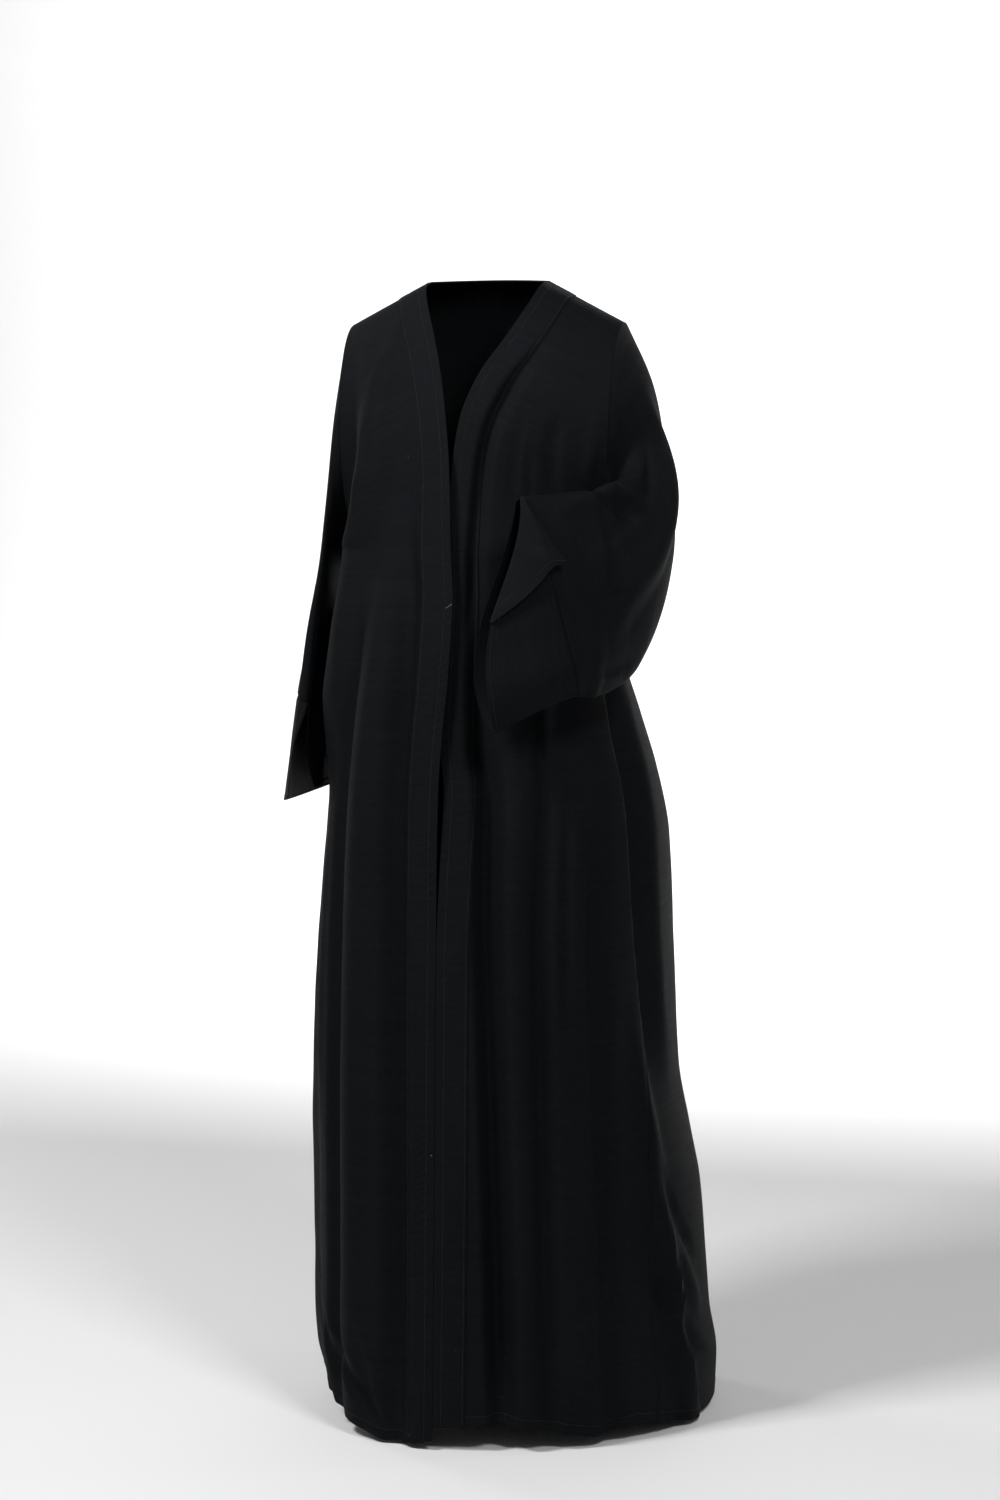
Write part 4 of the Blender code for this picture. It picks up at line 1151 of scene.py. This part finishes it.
# %% [markdown]
# ## The two fronts
#
# Each front is one length of cloth from the shoulder to the hem. Its grid runs round from
# the front edge to the armhole and, lower down, to the side seam.

# %% Fronts
HEM_WIDTH = 0.015


def front_places(row):
    return between(0.0, row.seam() - SEAM_GAP / 2, FRONT_MIDDLE)


def hem_distance(flat):
    """Metres up from the lowest row, for every point of a body grid."""
    return flat[..., 1] - flat[-1:, :, 1]


def finish_piece(piece, node):
    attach(piece, "root")
    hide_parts(node)


levels = body_levels()
fronts, front_grids = {}, {}
for side, node in ((-1, "right_front"), (1, "left_front")):
    grid = body_grid(side, levels, front_places)
    rise = hem_rise(hem_distance(grid[2]), HEM_WIDTH)
    piece = shell(f"{node}_cloth", grid, [right_side, wrong_side], rise)
    finish_piece(piece, node)
    fronts[side], front_grids[side] = piece, grid

# %% [markdown]
# ## The back
#
# The back is one piece across both shoulders. It is made as two halves that share the row
# down the middle, because each half is measured from its own side.

# %% Back
def back_places(row):
    start = row.seam() + SEAM_GAP / 2
    if row.level < 1:
        start = row.front_length + row.armhole_gap + SEAM_GAP / 2
    return between(start, row.length, BACK_MIDDLE, last=np.array([0.0]))


def joined(right, left):
    """Two half grids that share their last column, as one."""
    return tuple(np.concatenate([a, b[:, -2::-1]], 1) for a, b in zip(right, left))


right_half = body_grid(-1, levels, back_places)
left_half = body_grid(1, levels, back_places)
back_grid = joined(right_half, left_half)
back_flat = back_grid[2].copy()
middle_column = right_half[0].shape[1] - 1
steps = np.linalg.norm(np.diff(back_grid[0], axis=1), axis=2)
around = np.concatenate([np.zeros((len(steps), 1)), np.cumsum(steps, 1)], 1)
back_flat[:, :, 0] = around - around[:, middle_column:middle_column + 1]
back_grid = (back_grid[0], back_grid[1], back_flat)
back_piece = shell(
    "back_cloth", back_grid, [right_side, wrong_side], hem_rise(hem_distance(back_flat), HEM_WIDTH)
)
finish_piece(back_piece, "back")

# %% [markdown]
# ## The facings
#
# A facing is a straight strip down each front edge, sewn down on both its sides. The rows
# of stitches pull the cloth up into short slanting puckers. They stand less than a
# millimetre high, and show because the light grazes them.

# %% Facings
BAND_ROWS_YOKE = 150
BAND_ROWS_SKIRT = 470
BAND_MIDDLE = 12
BAND_EDGE = np.array([0.0, 0.0007, 0.0016, 0.003])
EDGE_STITCH = 0.0105
INNER_STITCH = BAND_WIDTH - 0.0028
PUCKER_DEPTH = 0.0009
PUCKER_STEP = 0.0095


def noise_over(first, second, seed):
    """One value of smooth noise for each pair of places."""
    return np.array(
        [[noise.noise(Vector((a, b, seed))) for a, b in zip(r, s)] for r, s in zip(first, second)]
    )


def pucker(across, along, seed):
    """Short slanting puckers between the two stitch rows, uneven in length and height."""
    slant = np.abs(across - BAND_WIDTH * 0.55) * 0.9
    wander = noise_over(across * 60, along * 26, seed)
    wave = np.sin((along + slant + wander * 0.006) / PUCKER_STEP * math.tau)
    strength = noise_over(along * 9, across * 30, seed + 7)
    inside = eased(across / 0.006) * eased((BAND_WIDTH - across) / 0.004)
    return PUCKER_DEPTH * np.clip(wave, -0.3, 1) * np.clip(0.55 + strength * 0.9, 0, 1.2) * inside


def stitched(across, *lines):
    """The cloth dips where a row of stitches holds it."""
    dip = np.zeros_like(across)
    for line in lines:
        dip += np.exp(-(((across - line) / 0.0016) ** 2))
    return -0.0003 * dip


def band_places(row):
    return between(0.0, BAND_WIDTH, BAND_MIDDLE, BAND_EDGE, BAND_EDGE)


def line_of(grid, offset, column_place):
    """The points and normals of a grid along one distance from its edge."""
    points, normals, flat = grid
    out_points, out_normals = [], []
    for p, n, f in zip(points, normals, flat):
        across = np.abs(f[:, 0])
        out_points.append([np.interp(column_place, across, p[:, i]) for i in range(3)])
        out_normals.append([np.interp(column_place, across, n[:, i]) for i in range(3)])
    out_points, out_normals = np.array(out_points), np.array(out_normals)
    return out_points + out_normals * offset, out_normals


band_levels = body_levels(BAND_ROWS_YOKE, BAND_ROWS_SKIRT)
for side, node in ((-1, "right_front_band"), (1, "left_front_band")):
    points, normals, flat = body_grid(side, band_levels, band_places)
    across, along = np.abs(flat[..., 0]), -flat[..., 1]
    below_chest = eased((along - 0.10) / 0.5) * 0.8 + 0.2
    relief = pucker(across, along, 3.0 * side) * below_chest + stitched(across, EDGE_STITCH, INNER_STITCH)
    relief = np.where(across < 0.0016, relief * 0.3, relief)
    outer = points + normals * (SEAM_GAP + BAND_WALL + relief)[..., None]
    inner = points + normals * SEAM_GAP
    piece = cloth_mesh(f"{node}_cloth", outer, inner, flat, [facing_side])
    finish_piece(piece, node)
    area = surface_area(points)
    grid = (outer, normals, flat)
    rows = [line_of(grid, 0.0001, EDGE_STITCH), line_of(grid, 0.0001, INNER_STITCH)]
    sewn = stitches(f"{node}_stitches", rows, thread)
    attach(sewn, "root")
    print(node, "area", round(area, 4))

# %% The tacks
# Two bits of pale tacking thread are left on the right front: places round from the edge and drops
TACKS = [((0.000, 0.399), (0.009, 0.405)), ((0.002, 1.076), (0.006, 1.078))]
TACK_STEPS = 6


def tack_line(start, stop):
    """A short slanting line on the right front, over its facing."""
    line, ways = [], []
    for share in np.linspace(0.0, 1.0, TACK_STEPS):
        place = start[0] + (stop[0] - start[0]) * share
        drop = start[1] + (stop[1] - start[1]) * share
        points, normals, _ = body_grid(-1, [below(drop)], lambda row: np.array([place]))
        line.append(points[0, 0] + normals[0, 0] * (SEAM_GAP + BAND_WALL + THREAD_ABOVE))
        ways.append(normals[0, 0])
    return np.array(line), np.array(ways)


tacks = stitches("right_front_tacks", [tack_line(*tack) for tack in TACKS], tacking_thread)
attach(tacks, "root")

# %% The facing round the neck
NECK_LEVELS = 16
NECK_COLUMNS = 56
NECK_BAND_STEP = (1 - TOP_LEVEL) / 12


def neck_places_of(full):
    def places(row):
        start = row.seam() + SEAM_GAP / 2
        if row.level < 1:
            start = row.front_length + row.armhole_gap + SEAM_GAP / 2
        half = row.length - start
        neck = half * (0.46 - 0.06 * float(eased(row.level / 0.3)))
        return np.linspace(row.length - neck, row.length, full)
    return places


neck_top = TOP_LEVEL + NECK_BAND_STEP * 0.04
neck_low = TOP_LEVEL + NECK_BAND_STEP
neck_rows = np.linspace(neck_top, neck_low, NECK_LEVELS)
neck_right = body_grid(-1, neck_rows, neck_places_of(NECK_COLUMNS))
neck_left = body_grid(1, neck_rows, neck_places_of(NECK_COLUMNS))
points, normals, flat = joined(neck_right, neck_left)
flat = flat.copy()
steps = np.linalg.norm(np.diff(points, axis=1), axis=2)
around = np.concatenate([np.zeros((len(steps), 1)), np.cumsum(steps, 1)], 1)
flat[:, :, 0] = around
downs = np.linalg.norm(np.diff(points, axis=0), axis=2)
from_neck = np.concatenate([np.zeros((1, downs.shape[1])), np.cumsum(downs, 0)], 0)
flat[:, :, 1] = -from_neck
whole = from_neck[-1:]
relief = stitched(from_neck, 0.004) + stitched(whole - from_neck, 0.0026)
outer = points + normals * (SEAM_GAP + BAND_WALL + relief)[..., None]
neck_piece = cloth_mesh("neck_band_cloth", outer, points + normals * SEAM_GAP, flat, [facing_side])
finish_piece(neck_piece, "neck_band")
print("neck facing area", round(surface_area(points), 4), "depth", round(float(whole.mean()), 4))
print("neck facing length", round(float(around[:, -1].mean()), 3))

# %% [markdown]
# ## The sleeves and cuffs
#
# Each sleeve is a tube from the armhole to the cuff. The right one hangs down and the left
# one bends forward and across. The tube's rings come from the table, and its grid closes on
# itself, so only the two ends need a rim.

# %% Sleeves
SLEEVE_ROWS = 100
SLEEVE_COLUMNS = 132


def ring_angles(run):
    return np.arange(SLEEVE_COLUMNS) * 2 * math.pi / SLEEVE_COLUMNS


def inward_in_ring(side, angle):
    """Towards the inside of the armhole, without leaving its plane."""
    at = tube(side, 0.0, angle)
    run = tube(side, 0.0, angle + 0.01) - tube(side, 0.0, angle - 0.01)
    top, low = tube(side, 0.0, np.array([0.0, math.pi]))
    inward = np.cross(run, np.cross(top - low, [0.0, 1.0, 0.0]))
    inward /= np.linalg.norm(inward, axis=1)[:, None]
    facing = np.sign((((top + low) / 2 - at) * inward).sum(1))
    return inward * facing[:, None]


def end_steps(start, end, middle, steps):
    inner = np.linspace(start + steps[-1], end - steps[-1], middle + 2)[1:-1]
    return np.concatenate([start + steps, inner, end - steps[::-1]])


SLEEVE_NODES = ((-1, "right_sleeve"), (1, "left_sleeve"))
for side, node in SLEEVE_NODES:
    runs = end_steps(SMALL / 10, SLEEVE_RUN - SEAM_GAP / 2, SLEEVE_ROWS, EDGE_STEPS[:5])
    points, normals, flat = tube_grid(side, runs, ring_angles)
    inner = points - normals * WALL
    inside = -normals[0] + inward_in_ring(side, ring_angles(0)) * 0.5
    inside[:, 0] = np.where(inside[:, 0] * side < 0, 0.0, inside[:, 0])
    inside /= np.linalg.norm(inside, axis=1)[:, None]
    inner[0] = points[0] + inside * WALL
    inner[-1] = points[-1] - ring(side, runs[-1], ring_angles(0))[1] * WALL
    piece = cloth_mesh(f"{node}_cloth", points, inner, flat, [right_side, wrong_side], closed=True)
    finish_piece(piece, node)
    print(node, "area", round(surface_area(points, closed=True), 4))

# %% [markdown]
# The cuffs are cut as deep straight bands with a slit. On the hanging right arm the slit
# stands open. On the raised left arm the slit's outer corner has fallen back over itself and
# shows the wrong side of the cloth, so that grid runs up the flap, round the fold, and then
# round the cuff.

# %% The hanging cuff
CUFF_ROWS = 34
CUFF_HEM = 0.006
CUFF_STITCH = CUFF_HEM * 0.75


def cuff_runs():
    start, end = SLEEVE_RUN + SEAM_GAP / 2, SLEEVE_RUN + CUFF_DEPTH
    return end_steps(start, end, CUFF_ROWS, EDGE_STEPS[:5])


def right_cuff_angles(run):
    open_share = (run - SLEEVE_RUN) / CUFF_DEPTH
    half = math.radians(0.4 + RIGHT_SLIT_OPEN * open_share)
    slit = math.radians(RIGHT_SLIT)
    first, last = slit + half, slit + 2 * math.pi - half
    edge = EDGE_STEPS[:5] / RING_METRES * math.pi / 180
    inner = np.linspace(first + edge[-1], last - edge[-1], SLEEVE_COLUMNS)[1:-1]
    return np.concatenate([first + edge, inner, last - edge[::-1]])


def edge_distance(points):
    """Metres from the nearest of a grid's two sides, along its rows."""
    steps = np.linalg.norm(np.diff(points, axis=1), axis=2)
    around = np.concatenate([np.zeros((len(steps), 1)), np.cumsum(steps, 1)], 1)
    return np.minimum(around, around[:, -1:] - around)


runs = cuff_runs()
right_cuff_grid = tube_grid(-1, runs, right_cuff_angles)
points, normals, flat = right_cuff_grid
normals[0] = ring(-1, runs[0], right_cuff_angles(runs[0]))[1]
to_edge = np.minimum(edge_distance(points), (runs[-1] - runs)[:, None])
rise = hem_rise(to_edge, CUFF_HEM) * eased((runs - runs[0]) / 0.004)[:, None]
piece = shell("right_cuff_cloth", (points, normals, flat), [right_side, wrong_side], rise)
finish_piece(piece, "right_cuff")
low_row = np.searchsorted(runs, runs[-1] - CUFF_STITCH)
rows = [(points[low_row] + normals[low_row] * THREAD_ABOVE, normals[low_row])]
steps = np.linalg.norm(np.diff(points, axis=1), axis=2)
around = np.concatenate([np.zeros((len(steps), 1)), np.cumsum(steps, 1)], 1)
for flip in (False, True):
    line, ways = [], []
    for p, n, a in zip(points, normals, around):
        at = a[-1] - CUFF_STITCH if flip else CUFF_STITCH
        line.append([np.interp(at, a, p[:, i]) for i in range(3)])
        ways.append([np.interp(at, a, n[:, i]) for i in range(3)])
    line, ways = np.array(line), np.array(ways)
    rows.append((line + ways * THREAD_ABOVE, ways))
sewn = stitches("right_cuff_stitches", rows, thread)
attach(sewn, "root")

# %% The raised cuff
FLAP_COLUMNS = 40
ROLL_STEPS = 9


def outside_angle(run, distance):
    """The left sleeve's angle at a distance round its outer side from the slit at the top."""
    angles = np.linspace(2 * math.pi, math.pi, 60) + WRIST_TWIST
    return float(np.interp(distance, lengths(tube(1, run, angles)), angles))


def lifted(run, distance, lift):
    """A point over the left sleeve a distance round from its top line, and the way out."""
    point, way = ring(1, run, np.array([outside_angle(run, distance)]))
    level = lift + SEAM_DIP * float(seam_dip(abs(run - SLEEVE_RUN)))
    return point[0] + way[0] * level, way[0]


def left_cuff_row(run):
    down = (run - SLEEVE_RUN) / CUFF_DEPTH
    fold_reach = TURN_FOLD_AT_EDGE - TURN_FOLD_AT_SEAM
    fold_round = TURN_FOLD_AT_SEAM + fold_reach * down**TURN_FOLD_BEND
    fold_slope = fold_reach * TURN_FOLD_BEND * down ** (TURN_FOLD_BEND - 1)
    aside = math.hypot(fold_slope, CUFF_DEPTH)
    edge_at_seam = TURN_FOLD_AT_SEAM + TURN_WIDTH_AT_SEAM
    edge_round = edge_at_seam + (TURN_CORNER_ROUND - edge_at_seam) * down
    edge_beyond = TURN_CORNER_BEYOND * down
    points, ways, flat = [], [], []
    for share in np.linspace(0.0, 1.0, FLAP_COLUMNS):
        beyond = edge_beyond + (run - SLEEVE_RUN - edge_beyond) * share
        round_at = edge_round + (fold_round - edge_round) * share
        round_at -= TURN_EDGE_BOW * 4 * share * (1 - share) * down
        from_crease = (down - 1 + TURN_CREASE_FALL * share) / TURN_CREASE_WIDTH
        buckle = TURN_CREASE_HEIGHT * math.sin(share * math.pi) * math.exp(-(from_crease**2))
        point, way = lifted(SLEEVE_RUN + beyond, round_at, TURN_ROLL + TURN_LIFT * down * (1 - share) + buckle)
        points.append(point)
        ways.append(-way)
        flat.append((-round_at, -run))
    half = TURN_ROLL / 2
    centre, _ = lifted(run, fold_round, half)
    for turn in np.linspace(math.pi / 2, -math.pi / 2, ROLL_STEPS)[1:-1]:
        out = half * math.cos(turn)
        point, _ = lifted(
            run + out * fold_slope / aside, fold_round - out * CUFF_DEPTH / aside, half * (1 + math.sin(turn))
        )
        points.append(point)
        inwards = centre - point
        ways.append(inwards / np.linalg.norm(inwards))
        flat.append((-fold_round, -run))
    start = outside_angle(run, fold_round)
    around_ring = ring_angles(0) + WRIST_TWIST
    lowest = around_ring[SLEEVE_COLUMNS // 2]
    outer = np.linspace(start, lowest, SLEEVE_COLUMNS // 2 + 1)
    under = np.linspace(lowest, WRIST_TWIST + math.radians(1.0), SLEEVE_COLUMNS // 2 + 1)[1:]
    angles = np.concatenate([outer, under])
    main_points, main_ways = ring(1, run, angles)
    main_flat = np.stack([np.degrees(angles) * RING_METRES, np.full_like(angles, -run)], 1)
    return (
        np.concatenate([points, main_points]),
        np.concatenate([ways, main_ways]),
        np.concatenate([flat, main_flat]),
    )


made_rows = [left_cuff_row(run) for run in runs]
points = np.array([row[0] for row in made_rows])
normals = np.array([row[1] for row in made_rows])
flat = np.array([row[2] for row in made_rows])
to_edge = np.minimum(edge_distance(points), (runs[-1] - runs)[:, None])
rise = hem_rise(to_edge, CUFF_HEM) * eased((runs - runs[0]) / 0.004)[:, None]
piece = shell("left_cuff_cloth", (points, normals, flat), [right_side, wrong_side], rise)
finish_piece(piece, "left_cuff")
rows = []
low_row = np.searchsorted(runs, runs[-1] - CUFF_STITCH)
first_main = FLAP_COLUMNS + ROLL_STEPS - 2
main_way = normals[low_row, first_main:]
rows.append((points[low_row, first_main:] + main_way * THREAD_ABOVE, main_way))
back_way = -normals[low_row, :FLAP_COLUMNS]
rows.append((points[low_row, :FLAP_COLUMNS] + back_way * (WALL + THREAD_ABOVE), back_way))
sewn = stitches("left_cuff_stitches", rows, thread)
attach(sewn, "root")
print("flap corner", points[-1, 0].round(3))

# %% [markdown]
# ## Hem stitches
#
# The hem is sewn all round with one row of stitches.

# %% Hem stitches
HEM_STITCH = HEM_WIDTH * 0.85
# The facing covers the fronts' first columns, and its own stitches hold the hem there
COVERED_COLUMNS = 12


def hem_line(grid):
    points, normals, flat = grid
    up = hem_distance(flat)
    line, ways = [], []
    for column in range(points.shape[1]):
        heights = up[::-1, column]
        line.append([np.interp(HEM_STITCH, heights, points[::-1, column, i]) for i in range(3)])
        ways.append([np.interp(HEM_STITCH, heights, normals[::-1, column, i]) for i in range(3)])
    line, ways = np.array(line), np.array(ways)
    return line + ways * (HEM_RISE + 0.0001), ways


def trimmed(line, first):
    return line[0][first:], line[1][first:]


hem_rows = {
    "right_front": [trimmed(hem_line(front_grids[-1]), COVERED_COLUMNS)],
    "left_front": [trimmed(hem_line(front_grids[1]), COVERED_COLUMNS)],
    "back": [hem_line(back_grid)],
}
for node, rows in hem_rows.items():
    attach(stitches(f"{node}_hem_stitches", rows, thread), "root")

# %% The cuts
Cut = namedtuple("Cut", "node width length area held")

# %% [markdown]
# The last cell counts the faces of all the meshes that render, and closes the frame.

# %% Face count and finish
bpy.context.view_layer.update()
shown = [o for o in bpy.data.objects if o.type == "MESH" and not o.hide_render]
print("faces in all:", sum(len(o.data.polygons) for o in shown))
